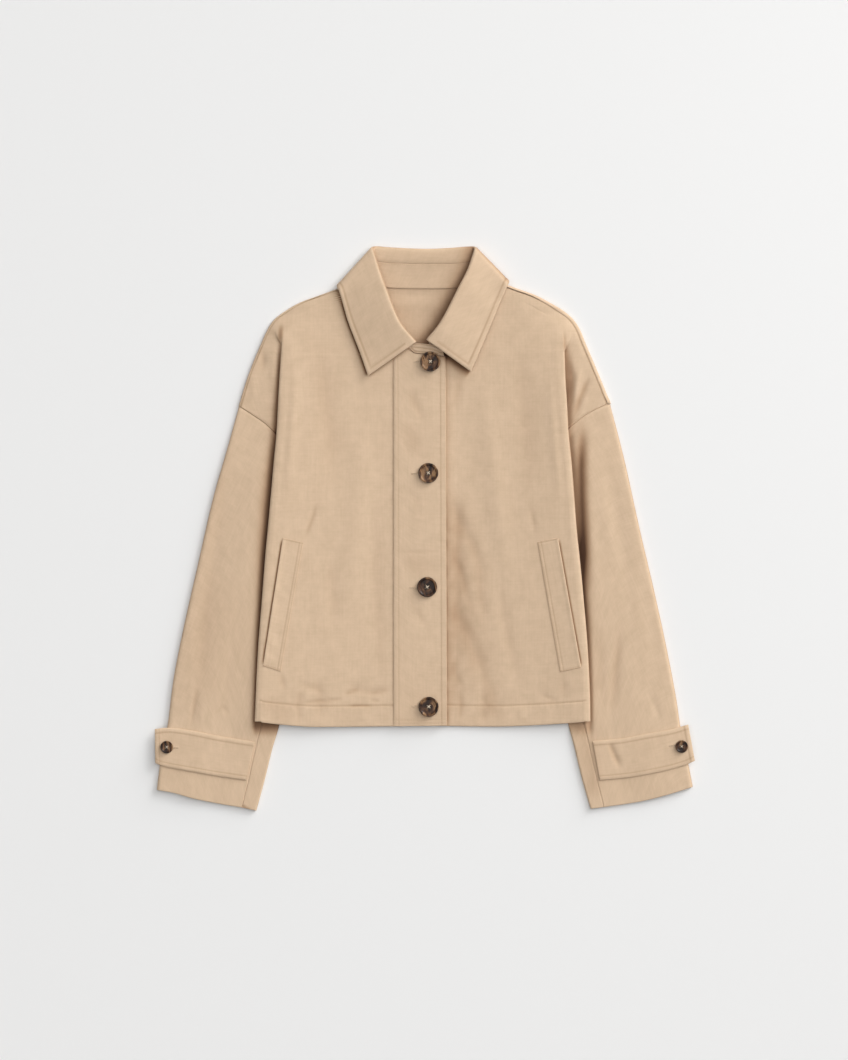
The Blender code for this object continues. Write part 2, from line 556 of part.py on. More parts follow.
def button(collection, cutters, name, size, x, y, z):
    """Turned disc with a raised rim and a sunk middle, cut by four holes. z is its underside."""
    radius, thick, rim = size["radius"], size["thick"], size["rim"]
    profile = ((0, thick * 0.62), (radius - rim - 1.2, thick * 0.62), (radius - rim, thick * 0.9),
               (radius - rim * 0.5, thick), (radius - 0.4, thick * 0.8), (radius, thick * 0.5),
               (radius * 0.8, 0.0), (0, 0.0))
    mesh = bpy.data.meshes.new(name)
    mesh.from_pydata([(across * MM, 0, height * MM) for across, height in profile],
                     [(step, step + 1) for step in range(len(profile) - 1)], [])
    disc = bpy.data.objects.new(name, mesh)
    disc.data.materials.append(material_for(name, HORN_COLOUR, 0.25))
    turn = disc.modifiers.new("turn", "SCREW")
    turn.steps = BUTTON_STEPS
    turn.render_steps = BUTTON_STEPS
    turn.use_merge_vertices = True
    turn.merge_threshold = 0.00001
    turn.use_normal_calculate = True
    collection.objects.link(disc)
    disc.location = (x * MM, y * MM, z * MM)
    shape = bmesh.new()
    for quarter in range(4):
        angle = math.radians(45 + 90 * quarter)
        made = bmesh.ops.create_cone(shape, cap_ends=True, segments=HOLE_SIDES, radius1=size["hole"] * MM,
                                     radius2=size["hole"] * MM, depth=3 * thick * MM)
        bmesh.ops.translate(shape, verts=made["verts"], vec=(size["hole_ring"] * math.cos(angle) * MM,
                                                             size["hole_ring"] * math.sin(angle) * MM, 0))
    cutter_mesh = bpy.data.meshes.new(f"{name}_holes")
    shape.to_mesh(cutter_mesh)
    shape.free()
    cutter = bpy.data.objects.new(f"{name}_holes", cutter_mesh)
    cutter.location = disc.location
    cutter.hide_render = True
    cutter.display_type = "WIRE"
    cutters.objects.link(cutter)
    holes = disc.modifiers.new("holes", "BOOLEAN")
    holes.operation = "DIFFERENCE"
    holes.object = cutter
    return disc


def buttons(collection, cutters):
    for number, (x, y) in enumerate(FRONT_BUTTON_PLACES, start=1):
        reach = FRONT_BUTTON["radius"] * np.array((-0.8, 0, 0.8))
        under = front_height(LEFT_FRONT, -(x + reach), y).max() + PLY + 0.2 + CLOTH / 2
        if number == 1:  # the top button rests on the stand's lower edge
            under = STAND_TAB["neck"][1][2] + CLOTH / 2 + SEAM_GAP
        button(collection, cutters, f"button_front_{number}", FRONT_BUTTON, x, y, under + SEAM_GAP)
    for name, (x, y) in CUFF_BUTTON_PLACES.items():
        under = SLEEVE_Z + SLEEVE_PUFF + PLY + CLOTH / 2 + SEAM_GAP
        button(collection, cutters, name, CUFF_BUTTON, x, y, under + SEAM_GAP)


def main():
    for thing in list(bpy.data.objects):
        bpy.data.objects.remove(thing)
    coat = bpy.data.collections.new("short_trench_coat")
    cutters = bpy.data.collections.new("cutters")
    cutters.hide_render = True
    for collection in (coat, cutters):
        bpy.context.scene.collection.children.link(collection)
    back_panel(coat)
    front_panel(coat, "front_left", LEFT_FRONT, LEFT_SLEEVE, -(PLACKET_RIGHT_X - LAP_INSET))
    front_panel(coat, "front_right", RIGHT_FRONT, RIGHT_SLEEVE, UNDERLAP_X)
    placket(coat)
    for name, corners in WELTS.items():
        welt(coat, name, LEFT_FRONT if corners[0][0] < 0 else RIGHT_FRONT, corners)
    sleeve_pieces(coat, "left", LEFT_FRONT, LEFT_SLEEVE)
    sleeve_pieces(coat, "right", RIGHT_FRONT, RIGHT_SLEEVE)
    for name, table in STRAPS.items():
        strap(coat, name, table)
    collar_leaf(coat)
    collar_stand(coat)
    buttons(coat, cutters)


if __name__ == "__main__":
    main()
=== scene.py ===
"""Short trench coat in sand cotton twill, buttoned and laid flat on its back on a pale surface.

Lengths are in millimetres until a mesh is made, and then in metres. +X is the viewer's right, +Y points to
the collar and +Z up. A cloth piece is worked out on a grid: rows go down the piece and columns across it. Its
middle surface comes from the pattern's tables. Its right and wrong sides lie half the cloth's thickness away.
"""

from __future__ import annotations

import logging
import math
import sys
from dataclasses import dataclass, field
from enum import Enum
from typing import Callable, Sequence

import bmesh
import bpy
import numpy as np
from bpy.types import Material, Node, NodeSocket, Object
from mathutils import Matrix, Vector

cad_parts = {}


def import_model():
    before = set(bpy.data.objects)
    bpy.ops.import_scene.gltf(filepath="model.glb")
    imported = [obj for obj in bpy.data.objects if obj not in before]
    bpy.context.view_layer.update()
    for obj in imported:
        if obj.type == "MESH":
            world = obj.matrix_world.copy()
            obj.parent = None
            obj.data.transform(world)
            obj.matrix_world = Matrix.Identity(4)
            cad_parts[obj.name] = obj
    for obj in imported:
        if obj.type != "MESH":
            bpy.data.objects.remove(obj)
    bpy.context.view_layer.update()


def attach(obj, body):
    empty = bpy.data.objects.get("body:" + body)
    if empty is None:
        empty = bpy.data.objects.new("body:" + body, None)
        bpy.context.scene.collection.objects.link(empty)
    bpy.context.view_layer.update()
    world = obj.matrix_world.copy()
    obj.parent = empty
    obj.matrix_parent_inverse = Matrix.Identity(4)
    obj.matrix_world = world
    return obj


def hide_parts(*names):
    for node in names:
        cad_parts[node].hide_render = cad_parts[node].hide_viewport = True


LOG = logging.getLogger("short_trench_coat")
Array = np.ndarray
Rows = Sequence[Sequence[float]]
Point = tuple[float, float]
Outline = Callable[[Array], Array]

MM = 0.001
CLOTH = 1.2
SEAM_GAP = 0.3
PLY = CLOTH + SEAM_GAP
TABLE_Z = CLOTH / 2
SLEEVE_Z = 4.6
SLEEVE_PUFF = 2.0
TUCK_Z = 7.0
BACK_LIFT = 2.1
LAP_DROP = 2.0
UNDERARM_Y = -40.0
BELOW_UNDERARM_Y = -44.0
SIDE_HEM_Y = -260.1
SHOULDER_RISE = 16.0
SHOULDER_ROWS = (336, 330, 323, 315, 305, 294, 282, 268, 250, 226, 200, 180)
SIDE_ROWS = (-38, -44, -100, -160, -220, SIDE_HEM_Y)
PLACKET_LEFT_X = -42.4
PLACKET_RIGHT_X = 28.1
PLACKET_FLARE = 1.7
LAP_INSET = 3.0
UNDERLAP_X = -14.0
HEM_DEEP = 28.0
EDGE_STITCH = 7.3

MIDDLE_Z = ((350, 8.2), (300, 7.4), (236, 6.6), (150, 6.4), (0, 6.4), (-150, 6.2), (-267, 5.4))
FOLD_Z = ((350, 9.0), (300, 11.5), (236, 12.6), (150, 13.0), (0, 13.0), (-150, 12.8), (-267, 12.2))


# ---------------------------------------------------------------- curves

def ease(t: Array | float) -> Array:
    """Smooth step from 0 at t = 0 to 1 at t = 1: three t squared minus two t cubed."""
    t = np.clip(t, 0, 1)
    return t * t * (3 - 2 * t)


def bell(away: Array | float, width: Array | float, power: float = 2) -> Array:
    """1 where away is 0 and about a third at width: e to minus (away over width) to the power."""
    return np.exp(-(away / width) ** power)


def smooth(at: Array, stations: Array, values: Array) -> Array:
    """Monotone cubic through values at rising stations, held level past both ends.

    The tangent at a station is the harmonic mean of the slopes on its two sides, and 0 where they disagree.

    Args:
        at: places to work out, of any shape.
        stations: rising places where the values are known.
        values: known values, one row for each station, with any further axes.

    Returns:
        Values of shape at.shape + values.shape[1:].
    """
    values = np.asarray(values, dtype=float)
    step = np.diff(stations).reshape(-1, *([1] * (values.ndim - 1)))
    slope = np.diff(values, axis=0) / step
    product = slope[:-1] * slope[1:]
    total = slope[:-1] + slope[1:]
    tangent = np.zeros_like(values)
    tangent[1:-1] = np.where(product > 0, 2 * product / np.where(total == 0, 1, total), 0)
    tangent[0], tangent[-1] = slope[0], slope[-1]
    at = np.clip(np.asarray(at, dtype=float), stations[0], stations[-1])
    span = np.clip(np.searchsorted(stations, at, side="right") - 1, 0, len(step) - 1)
    wide = step[span]
    share = (at - stations[span]) / np.diff(stations)[span]
    t = np.reshape(share, (*at.shape, *([1] * (values.ndim - 1))))
    return (values[span] * (1 + 2 * t) * (1 - t) ** 2 + values[span + 1] * t * t * (3 - 2 * t)
            + wide * t * (1 - t) * (tangent[span] * (1 - t) - tangent[span + 1] * t))


def read(at: Array | float, rows: Rows) -> Array:
    """Value at a station, by the monotone cubic through (station, value) rows."""
    stations, values = np.array(sorted(rows), dtype=float).T
    return smooth(np.asarray(at, dtype=float), stations, values)


def along(points: Rows, share: Array) -> Array:
    """Points at shares 0 to 1 of the way along a smooth path through the given points."""
    points = np.array(points, dtype=float)
    run = np.concatenate([[0], np.cumsum(np.linalg.norm(np.diff(points, axis=0), axis=1))])
    return smooth(share, run / run[-1], points)


def rounded(corners: Array, steps: Sequence[int]) -> Array:
    """Quadratic curves that touch the middle of each side of an open polygon, and its two ends.

    Args:
        corners: polygons of shape (..., corner, coordinate).
        steps: how many stretches the curve past each inner corner gets.

    Returns:
        Points of shape (..., point, coordinate).
    """
    middle = (corners[..., 1:, :] + corners[..., :-1, :]) / 2
    middle[..., 0, :] = corners[..., 0, :]
    middle[..., -1, :] = corners[..., -1, :]
    stretches = []
    for corner, count in enumerate(steps, start=1):
        t = (np.arange(count) / count)[:, None]
        before, turn, after = (part[..., None, :] for part in
                               (middle[..., corner - 1, :], corners[..., corner, :], middle[..., corner, :]))
        stretches.append((1 - t) ** 2 * before + 2 * t * (1 - t) * turn + t * t * after)
    stretches.append(corners[..., -1:, :])
    return np.concatenate(stretches, axis=-2)


def graded(marks: Sequence[float], step: Callable[[float], float]) -> Array:
    """Positions through all marks, with each stretch between two marks cut evenly.

    Args:
        marks: positions in order.
        step: the widest spacing, from the middle of a stretch.

    Returns:
        All positions, the marks among them.
    """
    parts = []
    for start, end in zip(marks[:-1], marks[1:]):
        count = max(1, math.ceil(abs(end - start) / step((start + end) / 2)))
        parts.append(np.linspace(start, end, count + 1)[:-1])
    return np.concatenate([*parts, np.array(marks[-1:], dtype=float)])


# ---------------------------------------------------------------- creases

@dataclass(frozen=True)
class Crease:
    """A soft trough or ridge that was pressed into the cloth.

    Attributes:
        path: plan points that it runs through.
        width: distance to each side at which it has faded to about a third.
        depth: height, negative for a trough.
        lean: how much steeper its left side is than its right, -1 to 1.
        fade: share of its length over which each end fades out.
        shade: how deep the painted shade is that darkens its colour, 0 to 1.
    """

    path: Rows
    width: float
    depth: float
    lean: float = 0.0
    fade: float = 0.4
    shade: float = 0.0

    def presence(self, x: Array, y: Array) -> tuple[Array, Array]:
        """How much of it is left at plan points, and how far across it they lie.

        Args:
            x: plan x of the points.
            y: plan y of the points.

        Returns:
            A bell over the distance to the path, faded at both ends, and the signed reach in widths.
        """
        path = np.array(self.path, dtype=float)
        run = np.diff(path, axis=0)
        length = np.linalg.norm(run, axis=1)
        before = np.concatenate([[0], np.cumsum(length)])
        offset = np.stack([x, y], axis=-1)[..., None, :] - path[:-1]
        t = np.clip((offset * run).sum(axis=-1) / length ** 2, 0, 1)
        away = offset - t[..., None] * run
        distance = np.linalg.norm(away, axis=-1)
        nearest = distance.argmin(axis=-1)[..., None]
        cross = run[:, 0] * offset[..., 1] - run[:, 1] * offset[..., 0]
        side = np.sign(np.take_along_axis(cross, nearest, -1)[..., 0])
        reach = np.take_along_axis(distance, nearest, -1)[..., 0] / self.width
        share = np.take_along_axis(before[:-1] + t * length, nearest, -1)[..., 0] / before[-1]
        ends = ease(share / self.fade) * ease((1 - share) / self.fade)
        return np.exp(-reach ** 2) * ends, side * np.minimum(reach, 1.5)

    def height(self, x: Array, y: Array) -> Array:
        """Height at plan points: depth times what is left of it there, leaning to one side."""
        left, across = self.presence(x, y)
        return self.depth * left * (1 + self.lean * across)


def pressed(x: Array, y: Array, creases: Sequence[Crease]) -> Array:
    """Sum of the creases' heights at plan points."""
    return sum((crease.height(x, y) for crease in creases), np.zeros(np.shape(x)))


def shaded(x: Array, y: Array, creases: Sequence[Crease]) -> Array:
    """Sum of the painted shades that darken the cloth's colour in the creases."""
    deep = (crease.shade * crease.presence(x, y)[0] for crease in creases if crease.shade)
    return sum(deep, np.zeros(np.shape(x)))


SWELL_WAVES = (  # height, length along x, length along y, phase, share of the turn
    (0.30, 31, 97, 0.0, 1.0), (0.22, 17, -53, 0.0, 2.1), (0.20, 120, 41, 1.3, 1.0), (0.10, 9.5, 29, 0.0, 3.7))


def swell(x: Array, y: Array, turn: float) -> Array:
    """Slow unevenness of resting cloth: the sum of four crossing waves of unlike lengths."""
    return sum(high * np.sin(x / along_x + y / along_y + (phase + share * turn))
               for high, along_x, along_y, phase, share in SWELL_WAVES)


def ripple(at: Array, length: float, stray: float, over: float) -> Array:
    """Waves of uneven length: a sine whose phase strays with a slower sine."""
    return np.sin(at / length + stray * np.sin(at / over))


def near(x: Array, y: Array, spot: Point, radius: float) -> Array:
    """1 at a plan place and about a third at radius from it: a bell over the distance."""
    return np.exp(-((x - spot[0]) ** 2 + (y - spot[1]) ** 2) / radius ** 2)


# ---------------------------------------------------------------- cloth on a grid

class Edge(Enum):
    """A border of a cloth grid: the axis that leads away from it, and whether it is that axis's last line."""

    TOP = (0, False)
    BOTTOM = (0, True)
    START = (1, False)
    END = (1, True)


@dataclass(frozen=True)
class Seamline:
    """A path on cloth: its points and the directions square to the cloth there, both of shape (point, 3)."""

    points: Array
    normals: Array

    def run(self) -> Array:
        """Length from the first point to each point."""
        return np.concatenate([[0], np.cumsum(np.linalg.norm(np.diff(self.points, axis=0), axis=1))])

    def cut(self, start: float, end: float) -> Seamline:
        """The path without its first start and last end millimetres."""
        run = self.run()
        keep = (run >= start) & (run <= run[-1] - end)
        return Seamline(self.points[keep], self.normals[keep])

    def values_at(self, values: Array, places: Array) -> Array:
        """Values of the path's points read at distances along it, in proportion between two points."""
        return np.stack([np.interp(places, self.run(), column) for column in values.T], axis=-1)

    def where(self, keep: Array) -> Seamline:
        """The part of the path that the mask keeps."""
        return Seamline(self.points[keep], self.normals[keep])


# Painted shade on bends that face the low light from the upper right: its direction in plan, and (shade,
# start, over) of two ramps by how squarely a bend faces it.
LOW_LIGHT = (0.72, 0.69, 0.0)
LOW_LIGHT_PAINTED_SHADES = ((0.2, 0.3, 0.4), (0.25, 0.55, 0.35))
RIM_INSETS = (0.2, 0.6)
RIM_SHARES = (0.0, 0.66, 0.95)


def with_rim(points: Array) -> Array:
    """The grid with two more lines just inside each border, so that the cloth's edge can be rounded."""
    for axis in (0, 1):
        lines = np.moveaxis(points, axis, 0)
        rings = []
        for edge, inner in ((lines[0], lines[1]), (lines[-1], lines[-2])):
            length = np.maximum(np.linalg.norm(inner - edge, axis=-1, keepdims=True), 1e-6)
            rings.append([edge + (inner - edge) * np.minimum(inset / length, cap)
                          for inset, cap in zip(RIM_INSETS, (0.25, 0.55))])
        lines = np.concatenate([lines[:1], rings[0], lines[1:-1], rings[1][::-1], lines[-1:]])
        points = np.moveaxis(lines, 0, axis)
    return points


def rim_taper(count: int) -> Array:
    """Share of the full thickness along one axis of a grid: 0 at both borders, 1 inside the rim."""
    taper = np.ones(count)
    taper[:3] = RIM_SHARES
    taper[-3:] = RIM_SHARES[::-1]
    return taper


@dataclass
class ClothGrid:
    """A wall of cloth round a middle surface, closed and rounded at its borders.

    Attributes:
        name: name of the finished piece.
        middle: middle surface, of shape (row, column, 3).
        up_at: share of the rows and of the columns of a spot whose right side faces up.
        thick: thickness of the wall.
        relief: how far the right side stands out past half the thickness, of shape (row, column).
        shade: painted shade that darkens the right side's colour where it lies in crevices, creases and
            shadows, 0 to 1, of the same shape.
        inner_shade: the same of the wrong side.
        flat: place of each point on the flat cloth, where the grid's own lines don't tell it.
        normal: direction in which the right side faces, of shape (row, column, 3).
        facing: 1 or -1, which turns the grid's own normals to the right side.
        taper: share of the thickness that is left near a border, 1 further in.
    """

    name: str
    middle: Array
    up_at: Point = (0.5, 1.0)
    thick: float = CLOTH
    relief: Array = field(init=False)
    shade: Array = field(init=False)
    inner_shade: Array = field(init=False)
    flat: Array | None = None
    normal: Array = field(init=False)
    facing: float = field(init=False)
    taper: Array = field(init=False)

    def __post_init__(self) -> None:
        """Adds the rim and works out which way the right side faces."""
        self.middle = with_rim(self.middle)
        rows, columns = self.middle.shape[:2]
        self.taper = np.minimum.outer(rim_taper(rows), rim_taper(columns))
        normal = np.cross(np.gradient(self.middle, axis=1), np.gradient(self.middle, axis=0))
        normal /= np.maximum(np.linalg.norm(normal, axis=-1, keepdims=True), 1e-9)
        spot = normal[round(self.up_at[0] * (rows - 1)), round(self.up_at[1] * (columns - 1))]
        self.facing = math.copysign(1.0, spot[2])
        self.normal = normal * self.facing
        self.relief = np.zeros((rows, columns))
        self.shade = np.zeros((rows, columns))
        self.inner_shade = np.zeros((rows, columns))

    @property
    def x(self) -> Array:
        """Plan x of the middle surface."""
        return self.middle[..., 0]

    @property
    def y(self) -> Array:
        """Plan y of the middle surface."""
        return self.middle[..., 1]

    def side(self, right: bool = True) -> Array:
        """Points of the right or wrong side: the middle plus or minus half the thickness along its normal."""
        half = self.thick / 2 * self.taper
        seen = np.clip(1.2 + 3 * self.normal[..., 2], 0, 1)
        away = half + self.relief * self.taper * seen if right else -half
        return self.middle + self.normal * away[..., None]

    def distance(self, edge: Edge) -> Array:
        """How far each point lies from a border, as the length of the grid line that leads there."""
        axis, last = edge.value
        step = np.linalg.norm(np.diff(self.middle, axis=axis), axis=-1)
        run = np.insert(np.cumsum(step, axis=axis), 0, 0.0, axis=axis)
        return run.take([-1], axis=axis) - run if last else run

    def line(self, edge: Edge, inset: float, right: bool = True) -> Seamline:
        """Path at a fixed distance inside a border, on the right or the wrong side."""
        axis, last = edge.value
        run, points = self.distance(edge), self.side(right)
        normals = self.normal if right else -self.normal
        if axis == 0:
            run, points, normals = run.T, points.swapaxes(0, 1), normals.swapaxes(0, 1)
        if last:
            run, points, normals = run[:, ::-1], points[:, ::-1], normals[:, ::-1]
        inside = np.clip((run < inset).sum(axis=1), 1, run.shape[1] - 1)
        line = np.arange(len(run))
        near, far = run[line, inside - 1], run[line, inside]
        t = np.clip((inset - near) / np.maximum(far - near, 1e-9), 0, 1)[:, None]
        return Seamline(points[line, inside - 1] * (1 - t) + points[line, inside] * t,
                        normals[line, inside - 1] * (1 - t) + normals[line, inside] * t)

    def spot(self, x: float, y: float) -> tuple[Array, Array]:
        """Point of the right side nearest to a plan place among those that face up, and its direction."""
        away = (self.x - x) ** 2 + (self.y - y) ** 2 + 1e6 * (self.normal[..., 2] < 0.5)
        place = np.unravel_index(away.argmin(), away.shape)
        return self.side()[place], self.normal[place]

    @staticmethod
    def margin(away: Array, inset: float) -> Array:
        """1 on the margin between a border and its stitches, with a quick rise and a step past them."""
        return ease(away / 1.1) * (1 - 0.85 * ease((away - inset - 0.1) / 1.6))

    def stitched(self, edge: Edge, inset: float, puff: float = 0.42, groove: float = 0.34) -> None:
        """Presses a row of topstitching into the right side along one border.

        The margin between the border and the stitches stands level, a little proud of the rest. The cloth
        dips as a narrow bell at the stitches, and puckers a little across them, unevenly along the row.
        """
        away = self.distance(edge)
        step = self.distance(Edge.START if edge.value[0] == 0 else Edge.TOP)
        hump = puff * self.margin(away, inset)
        dip = groove * bell(away - inset, 0.75)
        pucker = 0.07 * bell(away - inset, 2.6) * ripple(step, 1.05, 2.2, 19)
        self.relief += hump - dip - pucker
        # painted shade in the dip at the stitches
        self.shade += 0.7 * groove * bell(away - inset, 0.85)

    def uv(self) -> Array:
        """Place on the flat cloth in metres: as given, or along the grid's lines from two borders."""
        if self.flat is not None:
            return self.flat * MM
        return np.stack([self.distance(Edge.END), self.distance(Edge.TOP)], axis=-1) * MM

    def piece(self, material: Material) -> Object:
        """The finished mesh: right side, wrong side inside the shared border, and a map in metres.

        Bends that face the photograph's low light get a shade of their own, painted and not cast, because
        they would otherwise come out paler than they are there.

        Args:
            material: the cloth's finish.

        Returns:
            The piece, at the origin.
        """
        rows, columns = self.middle.shape[:2]
        right = np.arange(rows * columns).reshape(rows, columns)
        wrong = right.copy()
        inner = (rows - 2, columns - 2)
        wrong[1:-1, 1:-1] = rows * columns + np.arange(math.prod(inner)).reshape(inner)
        points = np.concatenate([self.side().reshape(-1, 3), self.side(False)[1:-1, 1:-1].reshape(-1, 3)])
        spread = np.concatenate([self.uv().reshape(-1, 2), self.uv()[1:-1, 1:-1].reshape(-1, 2)])
        over, under = grid_faces(right), grid_faces(wrong)[:, ::-1]
        faces = np.concatenate([over, under] if self.facing > 0 else [over[:, ::-1], under[:, ::-1]])
        piece = mesh_piece(self.name, points, faces, material, spread)
        # painted shade: the grid's own, and more on bends that face the low light
        toward = self.normal @ np.array(LOW_LIGHT)
        painted_shades = [self.shade] + [deep * ease((toward - start) / over) for deep, start, over in LOW_LIGHT_PAINTED_SHADES]
        write_painted_shade(piece, np.concatenate([sum(painted_shades).ravel(), self.inner_shade[1:-1, 1:-1].ravel()]))
        return piece


Sewn = tuple[ClothGrid, list[Seamline]]


def grid_faces(index: Array, around: bool = False) -> Array:
    """Squares between neighbouring numbers of a grid, closed across its columns where around is true."""
    if around:
        index = np.concatenate([index, index[:, :1]], axis=1)
    return np.stack([index[:-1, :-1], index[:-1, 1:], index[1:, 1:], index[1:, :-1]], axis=-1).reshape(-1, 4)


def write_painted_shade(piece: Object, shade: Array) -> None:
    """Writes each corner's painted shade on the mesh, which darkens the colour in the cloth's finish."""
    layer = piece.data.attributes.new("shade", "FLOAT", "POINT")
    layer.data.foreach_set("value", np.clip(shade, 0, 0.98).astype(np.float32))


def mesh_piece(name: str, points: Array, faces: Array | list, material: Material,
               spread: Array | None = None) -> Object:
    """Makes a shown, smooth-shaded mesh.

    Args:
        name: name of the piece.
        points: corners in millimetres.
        faces: corner numbers of each face, seen from outside in turn to the left.
        material: its finish.
        spread: for cloth, the place of each corner on the flat cloth, in metres.

    Returns:
        The piece, at the origin.
    """
    mesh = bpy.data.meshes.new(name)
    faces = faces.tolist() if isinstance(faces, Array) else faces
    mesh.from_pydata((points * MM).tolist(), [], faces)
    if spread is not None:
        corner = np.empty(len(mesh.loops), dtype=np.int32)
        mesh.loops.foreach_get("vertex_index", corner)
        layer = mesh.uv_layers.new(name="cloth")
        layer.uv.foreach_set("vector", spread[corner].astype(np.float32).ravel())
    mesh.materials.append(material)
    mesh.shade_smooth()
    piece = bpy.data.objects.new(name, mesh)
    bpy.context.scene.collection.objects.link(piece)
    return piece


# ---------------------------------------------------------------- stitches and buttonholes

BEAD_RINGS = ((-1.0, 0.35, -0.6), (-0.55, 1.0, 0.25), (0.55, 1.0, 0.25), (1.0, 0.35, -0.6))


@dataclass(frozen=True)
class Stitching:
    """Rows of lockstitch, each stitch a short bead that sinks into the cloth at both ends.

    Attributes:
        pitch: length of cloth for each stitch.
        thread: radius of the thread.
        looseness: how far a stitch strays along its row.
    """

    pitch: float = 2.9
    thread: float = 0.2
    looseness: float = 0.04

    def bead(self) -> tuple[Array, list[list[int]]]:
        """One stitch along x: four rings of four corners, thin at both ends, with its two caps."""
        half = self.pitch * 0.42
        turn = np.arange(4) * math.pi / 2 + math.pi / 4
        points = [np.stack([np.full(4, half * share), np.cos(turn) * size * self.thread,
                            (np.sin(turn) * size + lift) * self.thread], axis=-1)
                  for share, size, lift in BEAD_RINGS]
        faces = grid_faces(np.arange(16).reshape(4, 4), around=True)[:, ::-1].tolist()
        return np.concatenate(points), [*faces, [0, 1, 2, 3], [15, 14, 13, 12]]

    def piece(self, name: str, lines: Sequence[Seamline], material: Material) -> Object:
        """All stitches of several rows as one mesh.

        Args:
            name: name of the piece.
            lines: the rows' paths.
            material: the thread's finish.

        Returns:
            The piece.
        """
        bead, faces = self.bead()
        random = np.random.default_rng(len(name))
        clouds = []
        for line in lines:
            length = line.run()[-1]
            count = max(1, int(length / self.pitch))
            places = (np.arange(count) + 0.5) * length / count
            places = places + random.normal(0, self.looseness, count)
            at, ahead, behind = (line.values_at(line.points, places + step) for step in (0.0, 1.2, -1.2))
            up = line.values_at(line.normals, places)
            shown = up[:, 2] > -0.3
            forward = unit(ahead - behind)[shown]
            side = unit(np.cross(up[shown], forward))
            clouds.append(carried(bead, at[shown][:, None], forward[:, None], side[:, None],
                                  np.cross(forward, side)[:, None]))
        cloud = np.concatenate(clouds)
        shifts = np.arange(len(cloud)) * len(bead)
        every = [[corner + shift for corner in face] for shift in shifts.tolist() for face in faces]
        return outward(mesh_piece(name, cloud.reshape(-1, 3), every, material))


def carried(shape: Array, spot: Array, forward: Array, side: Array, up: Array) -> Array:
    """A shape's points at a spot, with its x, y and z along the three directions."""
    return spot + shape[..., :1] * forward + shape[..., 1:2] * side + shape[..., 2:] * up


def unit(vectors: Array) -> Array:
    """Vectors of length 1 along the last axis."""
    return vectors / np.maximum(np.linalg.norm(vectors, axis=-1, keepdims=True), 1e-9)


def outward(piece: Object) -> Object:
    """The piece with every closed part's faces turned outwards."""
    shape = bmesh.new()
    shape.from_mesh(piece.data)
    bmesh.ops.recalc_face_normals(shape, faces=shape.faces)
    shape.to_mesh(piece.data)
    shape.free()
    return piece


@dataclass(frozen=True)
class Buttonhole:
    """A worked buttonhole: a ring of close stitches round a narrow slit.

    Attributes:
        spot: its middle on the cloth.
        up: direction square to the cloth there.
        heading: direction of the slit in plan, in degrees from +X.
        length: whole length of the ring.
        wide: whole width of the ring.
        ribs: stitches round the ring.
        ridge: half the width of the ridge.
        high: height of the ridge.
        swelling: how much each stitch swells it.
    """

    spot: Array
    up: Array
    heading: float
    length: float
    wide: float = 3.0
    ribs: int = 70
    ridge: float = 0.66
    high: float = 0.5
    swelling: float = 0.16

    def ring(self) -> Array:
        """Grid of shape (place round the slit, corner of the ridge, 3).

        The ridge's middle line is a stadium: two straights joined by half circles. Its section is half an
        ellipse over the cloth, and its size swells and shrinks once for each stitch.
        """
        radius = self.wide / 2 - self.ridge
        straight, arc = self.length / 2 - self.wide / 2, math.pi * radius
        count = self.ribs * 4
        around = np.arange(count) / count * (4 * straight + 2 * math.pi * radius)
        first, second, third = 2 * straight, 2 * straight + arc, 4 * straight + arc
        parts = [around < first, around < second, around < third]
        turn = np.select(parts, (-math.pi / 2, -math.pi / 2 + (around - first) / radius, math.pi / 2),
                         math.pi / 2 + (around - third) / radius)
        middle = np.select(parts, (around - straight, straight, straight - (around - second)), -straight)
        across = np.stack([np.cos(turn), np.sin(turn)], axis=-1)
        centre = np.stack([middle, np.zeros(count)], axis=-1) + across * radius
        rib = 1 + self.swelling * np.cos(np.arange(count) * math.pi / 2)
        section = np.arange(8) / 8 * 2 * math.pi
        out = np.cos(section) * self.ridge * rib[:, None]
        lift = np.sin(section) * self.high * rib[:, None]
        plan = centre[:, None] + across[:, None] * out[..., None]
        return np.concatenate([plan, lift[..., None]], axis=-1)

    def placed(self) -> Array:
        """The ring's points on the cloth."""
        heading = math.radians(self.heading)
        side = unit(np.cross(self.up, np.array((math.cos(heading), math.sin(heading), 0.0))))
        return carried(self.ring(), self.spot, np.cross(side, self.up), side, self.up)


def buttonhole_piece(name: str, holes: Sequence[Buttonhole], material: Material) -> Object:
    """Several buttonholes as one mesh of closed rings."""
    points, faces, shift = [], [], 0
    for hole in holes:
        ring = hole.placed()
        index = np.arange(ring.shape[0] * ring.shape[1]).reshape(ring.shape[:2]) + shift
        faces.append(grid_faces(np.concatenate([index, index[:1]]), around=True))
        points.append(ring.reshape(-1, 3))
        shift += index.size
    return outward(mesh_piece(name, np.concatenate(points), np.concatenate(faces), material))


# ---------------------------------------------------------------- finishes

Colour = tuple[float, float, float]


